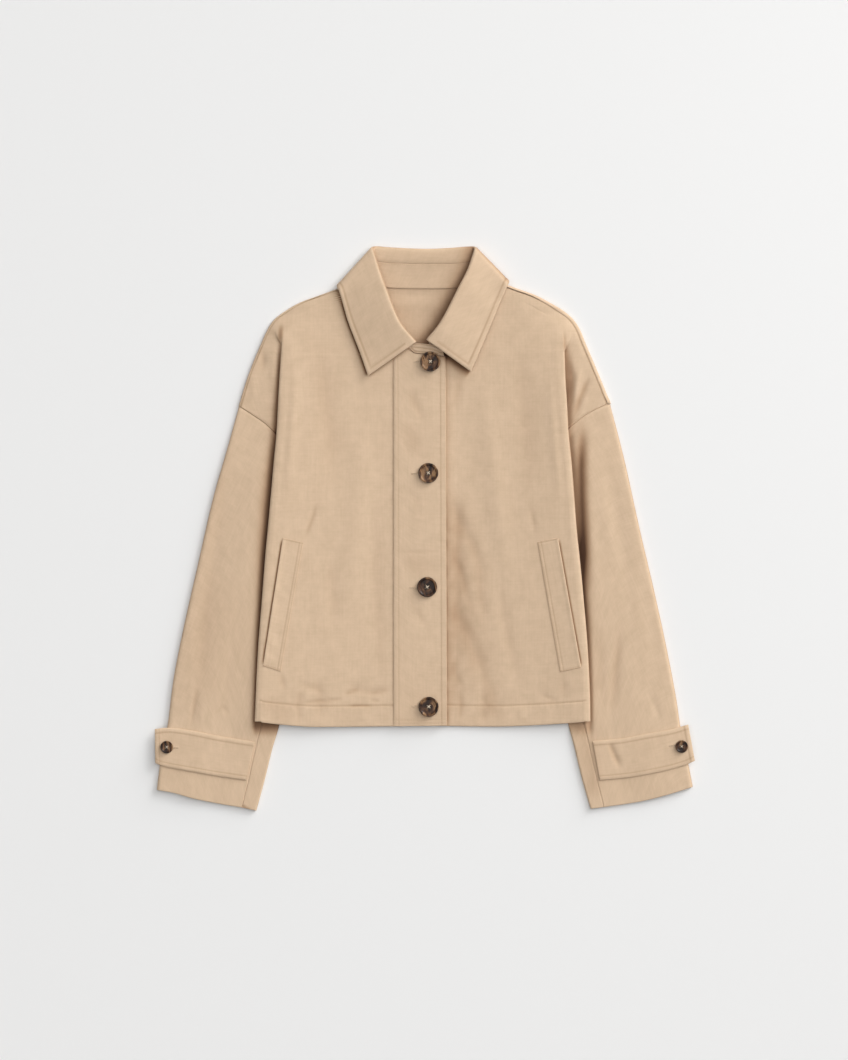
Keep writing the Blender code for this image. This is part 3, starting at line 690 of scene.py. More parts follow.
@dataclass(frozen=True)
class Finish:
    """A material while it is being made, with short ways to add nodes to it.

    Attributes:
        material: the material that the nodes belong to.
    """

    material: Material

    @classmethod
    def named(cls, name: str, **values: object) -> Finish:
        """A new one whose shader has the named inputs set, with _ for a space."""
        material = bpy.data.materials.new(name)
        material.use_nodes = True
        finish = cls(material)
        finish.shader(**values)
        return finish

    def shader(self, **values: object) -> None:
        """Sets or links the named inputs of the shader."""
        shader = self.material.node_tree.nodes["Principled BSDF"]
        for name, value in values.items():
            self.enter(shader.inputs[name.replace("_", " ")], value)

    def enter(self, socket: NodeSocket, value: object) -> None:
        """Links a socket to the input, or sets the input to a plain value."""
        if isinstance(value, NodeSocket):
            self.material.node_tree.links.new(value, socket)
        else:
            socket.default_value = value

    def add(self, kind: str, **values: object) -> Node:
        """A new node with the named inputs set or linked."""
        made = self.material.node_tree.nodes.new(f"ShaderNode{kind}")
        for name, value in values.items():
            self.enter(made.inputs[name], value)
        return made

    def maths(self, operation: str, *values: object) -> NodeSocket:
        """The output of a Math node on sockets or numbers."""
        made = self.add("Math")
        made.operation = operation
        for socket, value in zip(made.inputs, values):
            self.enter(socket, value)
        return made.outputs[0]

    def mixed(self, *parts: tuple[NodeSocket, float]) -> NodeSocket:
        """The sum of two sockets, each times its share."""
        return self.maths("ADD", *(self.maths("MULTIPLY", socket, share) for socket, share in parts))

    def ramp(self, factor: NodeSocket, stops: Sequence[tuple[float, Colour]]) -> NodeSocket:
        """Colours at rising positions, and those between them."""
        made = self.add("ValToRGB", Fac=factor)
        elements = made.color_ramp.elements
        for position, _ in stops[1:-1]:
            elements.new(position)
        for element, (position, colour) in zip(elements, stops):
            element.position, element.color = position, (*colour, 1)
        return made.outputs["Color"]

    def noise(self, spot: NodeSocket, **values: float) -> NodeSocket:
        """Noise over places."""
        return self.add("TexNoise", Vector=spot, **values).outputs["Fac"]

    def bump(self, height: NodeSocket, strength: float, distance: float) -> None:
        """Lets the shader's surface rise and fall with a height."""
        made = self.add("Bump", Height=height, Strength=strength, Distance=distance)
        self.shader(Normal=made.outputs["Normal"])


def tinted(colour: Colour, *shares: float) -> Colour:
    """A colour with each part times its own share, or all times one."""
    return tuple(part * share for part, share in zip(colour, shares * 3 if len(shares) == 1 else shares))


CLOUDS_WARP_WEFT = (  # stretch, scale, detail, roughness
    ((1, 1, 1), 60.0, 5.0, 0.65), ((1, 0.05, 1), 430.0, 4.0, 0.7), ((0.07, 1, 1), 400.0, 4.0, 0.7))


@dataclass(frozen=True)
class TwillCloth:
    """Sand cotton twill: fine slanting ribs, slubby yarns and a faint cloudiness.

    Attributes:
        colour: base colour, linear.
        rib: distance between ribs, in metres.
        cloud: how far the colour wanders to each side.
        paler: how much more its green and blue wander on the pale side.
        deeper: the same on the deep side.
        deep: (painted shade, colour) of what is left of its colour where the mesh's painted shade darkens it,
            as in the crevices beside folds.
    """

    colour: Colour = (0.668, 0.492, 0.336)
    rib: float = 0.00062
    cloud: float = 0.075
    paler: Colour = (1, 1.05, 1.2)
    deeper: Colour = (1, 1.15, 1.4)
    deep: Sequence[tuple[float, Colour]] = (
        (0.0, (1.0, 1.0, 1.0)), (0.35, (0.73, 0.66, 0.61)), (0.6, (0.52, 0.43, 0.37)),
        (0.8, (0.32, 0.24, 0.19)), (1.0, (0.09, 0.05, 0.035)))

    def material(self, name: str, shift: Point) -> Material:
        """The finish, with the cloth's pattern slid by shift metres so that pieces don't match."""
        finish = Finish.named(name, Roughness=0.86, Specular_IOR_Level=0.28, Sheen_Weight=0.16,
                              Sheen_Roughness=0.45)
        place = finish.add("UVMap")
        place.uv_map = "cloth"
        spot = finish.add("Mapping", Vector=place.outputs["UV"], Location=(*shift, 0.0)).outputs["Vector"]
        clouds, warp, weft = (
            finish.noise(finish.add("Mapping", Vector=spot, Scale=stretch).outputs["Vector"],
                         Scale=scale, Detail=detail, Roughness=rough)
            for stretch, scale, detail, rough in CLOUDS_WARP_WEFT)
        yarns = finish.mixed((warp, 0.55), (weft, 0.45))
        ribs = finish.add("TexWave", Vector=spot, Scale=0.3142 / self.rib, Distortion=0.0)
        ribs.wave_type = "BANDS"
        ribs.bands_direction = "DIAGONAL"
        self.coloured(finish, finish.mixed((clouds, 0.5), (yarns, 0.5)))
        finish.bump(finish.mixed((ribs.outputs["Fac"], 0.45), (yarns, 0.9)), 0.4, 0.00022)
        return finish.material

    def coloured(self, finish: Finish, tone: NodeSocket) -> None:
        """Gives the shader the cloth's colour by its tone, times what the mesh's painted shade leaves of it.
        """
        low = tinted(self.colour, *(1 - self.cloud * share for share in self.deeper))
        high = tinted(self.colour, *(1 + self.cloud * share for share in self.paler))
        # the mesh's painted shade, turned into what is left of the colour by the deep ramp
        shade = finish.add("Attribute")
        shade.attribute_name = "shade"
        both = finish.add("Mix")
        both.data_type = "RGBA"
        both.blend_type = "MULTIPLY"
        both.inputs[0].default_value = 1.0
        entries = [socket for socket in both.inputs if socket.type == "RGBA"]
        finish.enter(entries[0], finish.ramp(tone, ((0.36, low), (0.64, high))))
        finish.enter(entries[1], finish.ramp(shade.outputs["Fac"], self.deep))
        finish.shader(Base_Color=next(socket for socket in both.outputs if socket.type == "RGBA"))


@dataclass(frozen=True)
class ThreadFinish:
    """Spun sewing thread: matt, with a slight tone change along it.

    Attributes:
        colour: base colour, linear.
    """

    colour: Colour

    def material(self, name: str) -> Material:
        """The finish."""
        finish = Finish.named(name, Roughness=0.7, Sheen_Weight=0.12)
        tone = finish.noise(finish.add("TexCoord").outputs["Object"], Scale=900.0, Detail=1.0)
        stops = [(position, tinted(self.colour, share)) for position, share in ((0.3, 0.86), (0.7, 1.08))]
        finish.shader(Base_Color=finish.ramp(tone, stops))
        return finish.material


@dataclass(frozen=True)
class HornFinish:
    """Polished brown horn with paler streaks that bend through it.

    Attributes:
        dark: linear colour of most of it.
        brown: linear colour between the streaks.
        amber: linear colour of the palest streaks.
    """

    dark: Colour = (0.018, 0.009, 0.006)
    brown: Colour = (0.08, 0.036, 0.018)
    amber: Colour = (0.30, 0.165, 0.078)

    def material(self, name: str, turn: float) -> Material:
        """The finish, with the streaks turned about the vertical by turn radians."""
        finish = Finish.named(name, Roughness=0.32, Specular_IOR_Level=0.2, Coat_Weight=0.12,
                              Coat_Roughness=0.12)
        place = finish.add("TexCoord").outputs["Object"]
        twist = finish.add("Mapping", Vector=place, Rotation=(0.2, 0.35, turn), Scale=(1.0, 0.42, 1.0))
        streaks = finish.noise(twist.outputs["Vector"], Scale=80.0, Detail=2.5, Roughness=0.5, Distortion=1.2)
        stops = ((0.42, self.dark), (0.51, self.brown), (0.6, self.amber), (0.7, self.brown))
        finish.shader(Base_Color=finish.ramp(streaks, stops))
        finish.bump(finish.noise(place, Scale=2600.0, Detail=2.0), 0.12, 0.00005)
        return finish.material


# ---------------------------------------------------------------- fronts

def back_lift(y: Array) -> Array:
    """How far the body stands off the table over the collar's fall."""
    return BACK_LIFT * ease((np.asarray(y, dtype=float) - 286) / 16)


def under_collar(y: Array) -> Array:
    """1 where the collar's corner covers the shoulder, 0 further down it."""
    return ease((y - 300) / 18)


BUTTON_PLACES = ((7.4, 225.7), (4.6, 75.3), (3.0, -78.6), (5.1, -240.2))
BUTTON_CALM = 26
CUFF_BUTTON_CALM = 18


def calm(x: Array, y: Array) -> Array:
    """0 under each front button, where the cloth is held flat, and 1 well away from all of them."""
    still = np.ones(np.shape(x))
    for spot in BUTTON_PLACES:
        still = still * (1 - near(x, y, spot, BUTTON_CALM))
    return still


SIDE_STEPS = (22, 6, 4, 4, 4, 6, 7)
TOP_COLUMNS = 101
CAP_COLUMNS = 26
CAP_SHADE_COLUMNS = 34
EVENING_ROUNDS = 60
EVENING_SHARE = 0.6
PLACKET_TOP_Y = 240
VALLEY_TOP_Y = 272
VALLEY_END_Y = -285
ARMHOLE_STITCH = 3.4
ARMHOLE_SHOWN_Y = 60


@dataclass(frozen=True)
class Front:
    """One front of the coat, with its dropped shoulder cap and its turn under the side fold.

    Attributes:
        name: left or right, as the viewer sees it.
        sign: -1 for the viewer's left, 1 for the right.
        drop: how far it lies below the lapped front along the middle.
        wrap: how far the back turns over its shoulder.
        middle_out: how far out its free edge lies, negative past the middle line.
        shown_out: how far out the placket leaves it showing.
        seam: (y, out) of the shoulder seam.
        armhole: (y, out) of the armhole seam.
        fold: (y, out) of the side fold.
        tuck: (y, width) of the cloth turned back under the fold.
        neck: (y, out) of the neckline.
        hem: (out, y) of the hem.
        creases: creases of its upper layer.
        cap_creases: creases of its shoulder cap.
        swell_turn: phase of its slow unevenness.
        lapped_by: the front that lies on its free edge, whose creases it takes there.
        gap: (y, width) of the valley beside the side fold.
        dark: (y, painted shade) of that valley.
    """

    name: str
    sign: int
    drop: float
    wrap: float
    middle_out: float
    shown_out: float
    seam: Rows
    armhole: Rows
    fold: Rows
    tuck: Rows
    neck: Rows
    hem: Rows
    creases: tuple[Crease, ...] = ()
    cap_creases: tuple[Crease, ...] = ()
    swell_turn: float = 0.0
    lapped_by: Front | None = None
    gap: Rows = ((272, 2.4), (200, 3.2), (120, 5.0), (39, 7.2), (-40, 6.2), (-96, 4.4), (-170, 3.0),
                 (-267, 2.4))
    dark: Rows = ((272, 0.6), (200, 0.8), (39, 0.95), (-96, 0.97), (-204, 0.9), (-267, 0.75))

    @property
    def tip_y(self) -> float:
        """Y of the armhole's top, where the shoulder seam ends."""
        return self.armhole[0][0]

    def head(self, first: Sequence[float], share: Array) -> Array:
        """Points (out, y) along the armhole from its top at first to the underarm."""
        return along([first] + [(out, row) for row, out in self.armhole[1:]], share)

    def shoulder_y(self, out: Array) -> Array:
        """Y of the shoulder seam at a distance out."""
        return read(out, [(seam, row) for row, seam in self.seam])

    def seam_out(self, y: Array) -> Array:
        """Distance out of the shoulder seam above the armhole's top, and of the armhole below it."""
        path = self.head(self.armhole[0][::-1], np.linspace(0, 1, 600))
        below = np.interp(y, path[::-1, 1], path[::-1, 0])
        return np.where(y >= self.tip_y, read(y, self.seam), below)

    def seam_stretch(self, y: Array) -> Array:
        """How far out a point moves for each millimetre square to the shoulder seam."""
        above = np.maximum(y, self.tip_y + 1)
        slope = self.seam_out(above + 0.5) - self.seam_out(above - 0.5)
        return np.where(y > self.tip_y, np.sqrt(1 + slope ** 2), 1.0)

    def height(self, out: Array, y: Array) -> Array:
        """Middle surface of the upper layer: low at the closure, high by the fold, low at the shoulder."""
        out, y = np.broadcast_arrays(np.asarray(out, dtype=float), np.asarray(y, dtype=float))
        middle = read(y, MIDDLE_Z) - self.drop
        share = np.clip((out - 40) / (read(y, self.fold) - 48), 0, 1)
        height = middle + (read(y, FOLD_Z) - middle) * share ** 2
        shoulder_y = self.shoulder_y(out)
        seam_z = SLEEVE_Z + back_lift(y)
        rise = SHOULDER_RISE + 14 * share
        return seam_z + (height - seam_z) * (1 - np.exp(-np.maximum(shoulder_y - y, 0) / rise))

    def drape(self, x: Array, y: Array) -> Array:
        """Creases and slow unevenness of the upper layer, still at the buttons and fading to its borders."""
        out = self.sign * x
        shoulder_y = self.shoulder_y(out)
        fade = ease((read(y, self.fold) - 9 - out) / 13) * ease((shoulder_y - y) / 22)
        rough = 0.9 * pressed(x, y, self.creases) + 0.55 * swell(x, y, self.swell_turn) * ease((y + 262) / 30)
        own = rough * fade * calm(x, y)
        if self.lapped_by is None:
            return own
        share = ease((46 - x) / 18)
        return own * (1 - share) + self.lapped_by.drape(x, y) * share

    def beside_fold(self, x: Array, y: Array) -> Array:
        """Valley in what lies beside and below the side fold, and the low ridge past it."""
        past = self.sign * x - read(y, self.fold)
        wide = read(y, self.gap)
        ridge = 0.8 * bell(past - 12 - wide, 14)
        return (ridge - 3.4 * bell(np.maximum(past - 0.5, -past), wide)) * ease((VALLEY_TOP_Y - y) / 40)

    def painted_valley_shade(self, x: Array, y: Array) -> Array:
        """Painted shade in that valley, deepest right beside the fold."""
        past = np.maximum(self.sign * x - read(y, self.fold), 0)
        deep = 1.04 * read(y, self.dark) * bell(past, 1.5 * read(y, self.gap), 1.8)
        return deep * ease((VALLEY_TOP_Y - y) / 60)

    def rows(self) -> Array:
        """Y of the grid's rows: close where the outline turns and at the hem, wider down the sides."""
        marks = {*SHOULDER_ROWS, *SIDE_ROWS, *(row for row, _ in self.armhole[:-1]),
                 *np.linspace(self.neck[-1][0], self.neck[-2][0], 5).tolist(), -224.0}
        return graded(sorted(marks, reverse=True), lambda y: 2.5 if y > 130 else (3.4 if y > -222 else 1.05))

    def grid(self, inner_fold_out: Outline) -> tuple[ClothGrid, int]:
        """The front's cloth: cap, turn under the fold, fold, then the upper layer to its free edge.

        Each row is a rounded polygon through the turn and the fold, and goes on as the upper layer's height.

        Args:
            inner_fold_out: distance out of the sleeve's inner fold, by y.

        Returns:
            The cloth, and the number of its column where the upper layer starts.
        """
        y = self.rows()
        below = inner_fold_out(np.minimum(y, UNDERARM_Y))
        upper = ease((y - BELOW_UNDERARM_Y) / 6)
        shoulder = y > self.tip_y
        neck = read(y, self.neck)
        neck = np.where(y > self.neck[-1][0], np.maximum(neck, self.middle_out), self.middle_out)
        gap = 1.5 * under_collar(y) * self.seam_stretch(y)
        seam = self.seam_out(y) - gap
        width = seam - neck
        fold = read(y, self.fold)
        fold = np.where(shoulder, np.minimum(fold, seam - np.minimum(16, 0.4 * width)), fold)
        cap_z = SLEEVE_Z + back_lift(y)

        def mixed(high: Array, low: Array | float) -> Array:
            """The cap's layout above the underarm, and the body's side below it."""
            return low + (high - low) * upper

        turn = mixed(np.minimum(fold - read(y, self.tuck), seam - np.minimum(4, 0.1 * width)), below - 3.5)
        start = mixed(seam, below - 8)
        low_z = mixed(cap_z, TABLE_Z)
        lay_z = mixed(np.minimum(TUCK_Z, cap_z + 2.4), TUCK_Z)
        under = mixed(fold - turn, 40.0)
        top_out = fold - np.minimum(8, 0.2 * width)
        top_z = self.height(top_out, y)
        corner_rows = [(start, low_z), ((start + turn) / 2, low_z), (turn, low_z), (turn, lay_z),
                       (turn + np.clip(under / 3, -5, 5), lay_z + 0.5),
                       (fold - np.clip(under / 3, -6, 6), lay_z + 1.0), (fold, lay_z + 1.5), (fold, top_z),
                       (top_out, top_z)]
        corners = np.stack([np.stack(pair, axis=-1) for pair in corner_rows], axis=1)
        level_out = start[:, None] + (top_out - start)[:, None] * np.linspace(0, 1, len(corner_rows))
        level = np.stack([level_out, self.height(level_out, y[:, None])], axis=-1)
        flat = ease((y - 236) / 40)[:, None, None]
        corners = corners * (1 - flat) + level * flat
        side = rounded(corners, SIDE_STEPS)
        seen = (read(0.0, self.fold) - 8 - self.shown_out) / (read(0.0, self.fold) - 8 - self.middle_out)
        even = np.linspace(0, 1, TOP_COLUMNS + 1)[1:]
        share = np.concatenate([seen * even * (0.62 + 0.38 * even), np.linspace(seen, 1, 9)[1:]])
        top = top_out[:, None] + (neck - top_out)[:, None] * share
        out = np.concatenate([side[..., 0], top], axis=1)
        z = np.concatenate([side[..., 1], self.height(top, y[:, None])], axis=1)
        z = self.evened(z, side.shape[1], y)
        first_top = side.shape[1]
        hem_out = np.where(np.arange(out.shape[1]) < first_top, read(y[-1], self.fold), out)
        hem_drop = read(hem_out, self.hem) - SIDE_HEM_Y
        row_y = y[:, None] + hem_drop * ease((-150 - y[:, None]) / 110)
        x = self.sign * out
        on_top = np.arange(out.shape[1]) >= first_top - 3
        on_cap = np.arange(out.shape[1]) <= CAP_COLUMNS
        cap_fade = ease((start[:, None] - out) / 6) * upper[:, None]
        beside = 1.3 * pressed(x, row_y, self.cap_creases) + self.beside_fold(x, row_y)
        z = z + on_top * self.drape(x, row_y) + np.maximum(on_cap * cap_fade * beside, on_cap * (2.0 - z))
        if self.lapped_by is not None:
            z = z - 0.6 * bell(x - PLACKET_RIGHT_X - 1.4, 3.4) * (row_y < PLACKET_TOP_Y)
        return ClothGrid(f"cloth_front_{self.name}", np.stack([x, row_y, z], axis=-1)), first_top

    @staticmethod
    def evened(z: Array, first_top: int, y: Array) -> Array:
        """Heights with the upper layer's turns above the chest averaged out over a few rows and columns."""
        share = ease((y - 150) / 60)[1:-1, None] * ease((np.arange(z.shape[1])[1:-1] - first_top + 6) / 8)
        for _ in range(EVENING_ROUNDS):
            around = (z[:-2, 1:-1] + z[2:, 1:-1] + z[1:-1, :-2] + z[1:-1, 2:]) / 4
            z[1:-1, 1:-1] += EVENING_SHARE * share * (around - z[1:-1, 1:-1])
        return z

    def finished(self, inner_fold_out: Outline) -> Sewn:
        """The front with its hem and armhole stitching pressed in.

        Args:
            inner_fold_out: distance out of the sleeve's inner fold, by y.

        Returns:
            The cloth, and the paths of its stitches.
        """
        grid, first_top = self.grid(inner_fold_out)
        grid.flat = np.stack([grid.distance(Edge.END) + self.sign * grid.x[:, -1:], grid.y], axis=-1)
        top = np.arange(grid.middle.shape[1]) >= first_top
        self.press_armhole(grid)
        self.press_hem(grid, top)
        self.paint_fold_shade(grid, top)
        if self.lapped_by is not None:
            self.paint_shade_beside_placket(grid, top)
        hem = grid.line(Edge.BOTTOM, HEM_DEEP)
        out = self.sign * hem.points[:, 0]
        shown = (out < read(hem.points[:, 1], self.fold) - 0.5) & (out > self.shown_out - 4)
        cap = grid.line(Edge.START, ARMHOLE_STITCH)
        y = cap.points[:, 1]
        return grid, [hem.where(shown & top), cap.where((y < self.tip_y - 4) & (y > ARMHOLE_SHOWN_Y))]

    def press_armhole(self, grid: ClothGrid) -> None:
        """Presses the armhole seam into the cap: a ridge on the seam, and a groove at its stitches."""
        seam = grid.distance(Edge.START)
        # painted shade along the armhole seam
        grid.shade += 0.4 * bell(seam, 1.3) * (grid.y > ARMHOLE_SHOWN_Y)
        shown = ease((self.tip_y - 3 - grid.y) / 3) * ease((grid.y - UNDERARM_Y) / 8)
        grid.relief += shown * (0.22 * bell(seam - 1.4, 1.2) - 0.3 * bell(seam - ARMHOLE_STITCH, 0.9))

    def press_hem(self, grid: ClothGrid, top: Array) -> None:
        """Presses the hem into the upper layer: a level turn-up, a groove at its stitches, and puckers."""
        hem, step = grid.distance(Edge.BOTTOM), grid.distance(Edge.END)
        pucker = 0.10 * ripple(step, 1.3, 2.5, 23) * bell(hem - HEM_DEEP + 3, 3.4)
        uneven = 0.16 * ripple(step, 8.3, 1, 31) * ease(hem / 8) * ease((HEM_DEEP + 1 - hem) / 6)
        level = 0.26 * ease((HEM_DEEP - hem) / 2.2) * ease(hem / 2)
        shown = top * (self.sign * grid.x < read(grid.y, self.fold) - 1)
        grid.relief += shown * (level - 0.24 * bell(hem - HEM_DEEP, 1.0) + pucker + uneven)
        # painted shade along the hem's stitch groove
        grid.shade += shown * 0.14 * bell(hem - HEM_DEEP - 0.6, 1.6)

    def paint_fold_shade(self, grid: ClothGrid, top: Array) -> None:
        """Paints shade into the valley beside the side fold and into the creases."""
        cap = (np.arange(grid.middle.shape[1]) <= CAP_SHADE_COLUMNS) & (grid.normal[..., 2] > 0.2)
        grid.shade += cap * (self.painted_valley_shade(grid.x, grid.y) + shaded(grid.x, grid.y, self.cap_creases))
        grid.shade += (top | (grid.y > 238)) * shaded(grid.x, grid.y, self.creases)

    @staticmethod
    def paint_shade_beside_placket(grid: ClothGrid, top: Array) -> None:
        """Paints shade on the lapped front beside the placket: a broken shadow line at its edge and faint
        blotches of shade.
        """
        x, y = grid.x, grid.y
        beside = np.maximum(x - PLACKET_RIGHT_X - PLACKET_FLARE * ease(-y / 260), 0)
        broken = (0.6 + 0.4 * ripple(y, 6.1, 2, 37)) * ease((60 - y) / 40)
        # a broken painted shadow along the placket's edge
        line = 0.12 * bell(beside, 4.5, 1.5) + (0.14 + 0.34 * broken) * bell(beside, 1.9, 1.5)
        grid.shade += top * (y < PLACKET_TOP_Y) * line
        # faint mottled patches of painted shade
        mottled_shade = np.sin(x / 4.1 + 2.2 * np.sin(y / 21)) * np.sin(y / 8.3 + 1.7 * np.sin(x / 12))
        region = ease((62 - y) / 40) * bell(np.maximum(x - 46 + 0.12 * y, 0), 26)
        grid.shade += top * region * 0.04 * (1 + mottled_shade)


# Creases of the fronts and their caps: path, width, depth, lean, fade and painted shade. Those of depth 0.0
# are painted shade alone.
LEFT_CREASES = (
    Crease(((-110, -224), (-99, -220), (-87, -216.5)), 2.8, -0.75, 0.5, 0.35, 0.2),
    Crease(((-170, -236), (-143, -232.5), (-120, -235)), 2.6, -0.55, 0.3, 0.35, 0.14),
    Crease(((-106, -239.5), (-88, -238.5), (-70, -239.5)), 2.0, -0.4, 0.0, 0.3, 0.24),
    Crease(((-178, -206), (-155, -214), (-132, -220)), 4.0, -0.65, 0.4, 0.4, 0.08),
    Crease(((-77, -223), (-58, -219), (-43, -215)), 3.6, -0.65, 0.4, 0.35, 0.11),
    Crease(((-76, -231), (-60, -233.8)), 2.4, -0.42, 0.4, 0.4, 0.13),
    Crease(((-139, -228), (-124, -231), (-108, -229.6)), 3.0, -0.42, -0.4, 0.4, 0.1),
    Crease(((-164.4, -18), (-159, -4), (-152, 13), (-144, 40)), 3.4, -0.77, 0.6, 0.4, 0.16),
    Crease(((-196, -192), (-193, -207), (-187, -222)), 4.2, -0.68, 0.5, 0.5, 0.16),
    Crease(((-147, 284), (-139, 201), (-128, 106), (-130, 30)), 14.0, -1.02, 0.4, 0.4, 0.08),
    Crease(((-171, 262), (-175, 201), (-181, 120), (-186, 20)), 10.0, 1.1, -0.3, 0.4),
    Crease(((-90, 194), (-90, 66), (-100, -61), (-104, -150)), 16.0, 1.3, 0.3, 0.4),
    Crease(((-62, 60), (-66, -60), (-60, -190), (-63, -250)), 11.0, -0.68, -0.4, 0.4, 0.05),
    Crease(((-132, -30), (-127, -90), (-124, -150)), 9.0, -0.77, 0.5, 0.4, 0.06),
    Crease(((-204, -60), (-207, -130), (-212, -215)), 6.0, 0.6, 0.3, 0.4),
    Crease(((-148, -196), (-142, -226), (-145, -262)), 7.0, -0.68, 0.4, 0.3, 0.08),
    Crease(((-166, -215), (-172, -240), (-168, -264)), 4.5, -0.59, 0.4, 0.3, 0.11),
    Crease(((-83, -236), (-86, -262)), 6.0, 0.6, 0.3, 0.3),
    Crease(((-112, -200), (-98, -214), (-72, -222), (-48, -219)), 5.0, -0.68, 0.4, 0.4, 0.08),
    Crease(((-40, -31), (-8, -32), (24, -31)), 1.9, -0.38, 0.3, 0.3, 0.08),
    Crease(((-35, 150), (-10, 147), (20, 151)), 3.0, -0.25, 0.3),
    Crease(((-38, -146), (-12, -151), (25, -149)), 3.4, -0.3, -0.3),
    Crease(((-24, 196), (-12, 165), (-1, 138)), 6.0, -0.77, 0.4, 0.4, 0.1),
    Crease(((-30, 60), (-14, 40), (-6, 16)), 5.0, -0.42, 0.4, 0.4, 0.05),
    Crease(((-26, -92), (-10, -112), (4, -140)), 5.0, -0.42, -0.4, 0.4, 0.05),
    Crease(((-193, 280), (-194.6, 266), (-195.6, 246)), 3.2, 0.0, 0.0, 0.45, 0.55),
    Crease(((-211, 273), (-203, 263), (-196, 254)), 3.4, 0.0, 0.0, 0.3, 0.08),
    Crease(((-228, -232), (-204, -244), (-172, -250)), 12.0, -0.4, 0.3, 0.3, 0.1),
    Crease(((-33, 152), (-16, 112), (2, 94)), 10.0, -0.4, 0.4, 0.4, 0.1),
    Crease(((-36, -42), (-12, -50), (16, -46)), 10.0, -0.3, 0.3, 0.3, 0.1),
)
RIGHT_CREASES = (
    Crease(((39, 70), (42, -20), (40, -120), (38, -235)), 9.0, -1.02, 0.5, 0.3, 0.13),
    Crease(((28, 43), (47, 12), (72, -42), (83, -83)), 7.5, -0.8, 0.5, 0.4, 0.07),
    Crease(((33, -22), (50, -62), (61, -110)), 4.5, -0.68, 0.4, 0.4, 0.1),
    Crease(((31, -83), (50, -130), (74, -184), (91, -231)), 9.0, -0.85, 0.4, 0.35, 0.08),
    Crease(((28, -150), (41, -197), (61, -231)), 4.5, -0.68, 0.4, 0.4, 0.11),
    Crease(((44, -212), (49, -240), (46, -262)), 4.0, -0.68, 0.4, 0.3, 0.13),
    Crease(((76, -214), (82, -240), (79, -264)), 6.0, -0.68, -0.4, 0.3, 0.08),
    Crease(((70, 255), (88, 106), (104, -40), (112, -120)), 15.0, 1.4, 0.3, 0.4),
    Crease(((96, -40), (104, -120), (120, -190), (132, -240)), 9.0, -0.77, 0.5, 0.4, 0.05),
    Crease(((150, -14), (146, 16), (140, 40)), 4.0, -0.51, 0.6, 0.5, 0.08),
    Crease(((184, -196), (187, -214), (186, -236)), 5.0, -0.59, 0.4, 0.5, 0.11),
    Crease(((152, -222), (170, -231), (183, -233)), 4.0, -0.51, 0.5, 0.4, 0.08),
    Crease(((120, 262), (132, 200), (138, 120), (144, 30)), 15.0, -1.02, -0.4, 0.4, 0.06),
    Crease(((166, 236), (172, 150), (181, 70), (184, 5)), 9.0, 0.9, 0.3, 0.4),
    Crease(((48, 232), (44, 190), (34, 150)), 6.0, -0.77, 0.4, 0.4, 0.11),
    Crease(((206, -70), (210, -140), (214, -220)), 5.5, 0.6, -0.3, 0.4),
    Crease(((128, -238), (131, -262)), 6.0, 0.6, 0.3, 0.3),
    Crease(((32, 50), (36, 0), (42, -60), (52, -120), (66, -180), (78, -225)), 25.0, -0.5, 0.3, 0.22, 0.1),
    Crease(((34, 40), (43, 10), (53, -14)), 8.0, -0.5, 0.4, 0.4, 0.06),
    Crease(((34, -92), (46, -128), (68, -160)), 11.0, -0.5, 0.4, 0.4, 0.05),
    Crease(((68, -28), (75, -88), (85, -140)), 7.0, -0.5, 0.4, 0.4, 0.08),
    Crease(((82, -200), (92, -235), (95, -264)), 10.0, -0.6, 0.4, 0.3, 0.12),
    Crease(((33, -176), (39, -210), (36, -262)), 6.0, -0.5, 0.4, 0.3, 0.11),
    Crease(((188.5, 272), (188.5, 252), (189.5, 230)), 3.0, 0.0, 0.0, 0.5, 0.3),
)
LEFT_CAP_CREASES = (
    Crease(((-220, 245), (-219, 225), (-223, 208)), 4.5, -1.0, 0.4, 0.5, 0.1),
    Crease(((-204, 262), (-205, 225), (-204, 180)), 5.0, 0.7, 0.3, 0.4),
    Crease(((-236, 215), (-232, 190), (-233, 165)), 5.0, 0.6, 0.3, 0.45),
)
RIGHT_CAP_CREASES = (
    Crease(((192, 240), (197, 205), (194, 160)), 4.4, -1.5, 0.5, 0.4, 0.3),
    Crease(((224, 209), (216, 192), (208, 173), (201, 147)), 3.6, -1.3, 0.4, 0.35, 0.32),
    Crease(((213, 222), (206, 198), (201, 165)), 4.0, 1.0, -0.3, 0.4),
    Crease(((212, 150), (206, 143)), 2.2, 0.5, 0.3, 0.5),
    Crease(((203, 144), (198, 137)), 2.0, 0.5, 0.3, 0.5),
)

LEFT_FRONT = Front(
    "left", -1, 0.0, 2.7, -(PLACKET_RIGHT_X - LAP_INSET), 42.0,
    seam=((336, 92), (325.6, 114), (318, 134), (304.8, 165.9), (292, 187.5), (280.5, 202.4), (264.3, 212.5),
          (240.7, 222.6), (211.7, 234.8), (177.9, 245.6), (164.4, 249.6)),
    armhole=((164.4, 249.6), (157.7, 238.8), (150, 227.1), (142.8, 216.8), (132.4, 205.9), (115, 194),
             (90, 184), (40, 172.5), (-40, 160)),
    fold=((300, 196), (271, 195), (248, 193.2), (226, 194.3), (200, 196), (167, 197.8), (130, 199.7),
          (90, 203.5), (50, 207), (0, 211.5), (-40, 215.2), (-92, 219.2), (-168, 225), (-267, 229.6)),
    tuck=((300, -8), (285, -6), (262, 1), (248, 5), (200, 12), (167, 17), (130, 24), (90, 33), (50, 42),
          (0, 52.5), (-40, 58.7)),
    neck=((336, 80), (325, 79), (310, 76), (295, 71), (280, 62), (266, 50.5), (256, 40), (248, 28), (244, 22),
          (240.7, 18), (237.6, 12), (234, -25)),
    hem=((-25, -266), (42, -266.8), (146, -267.6), (197, -264.1), (229.6, -260.1)),
    creases=LEFT_CREASES, cap_creases=LEFT_CAP_CREASES, swell_turn=0.4,
)
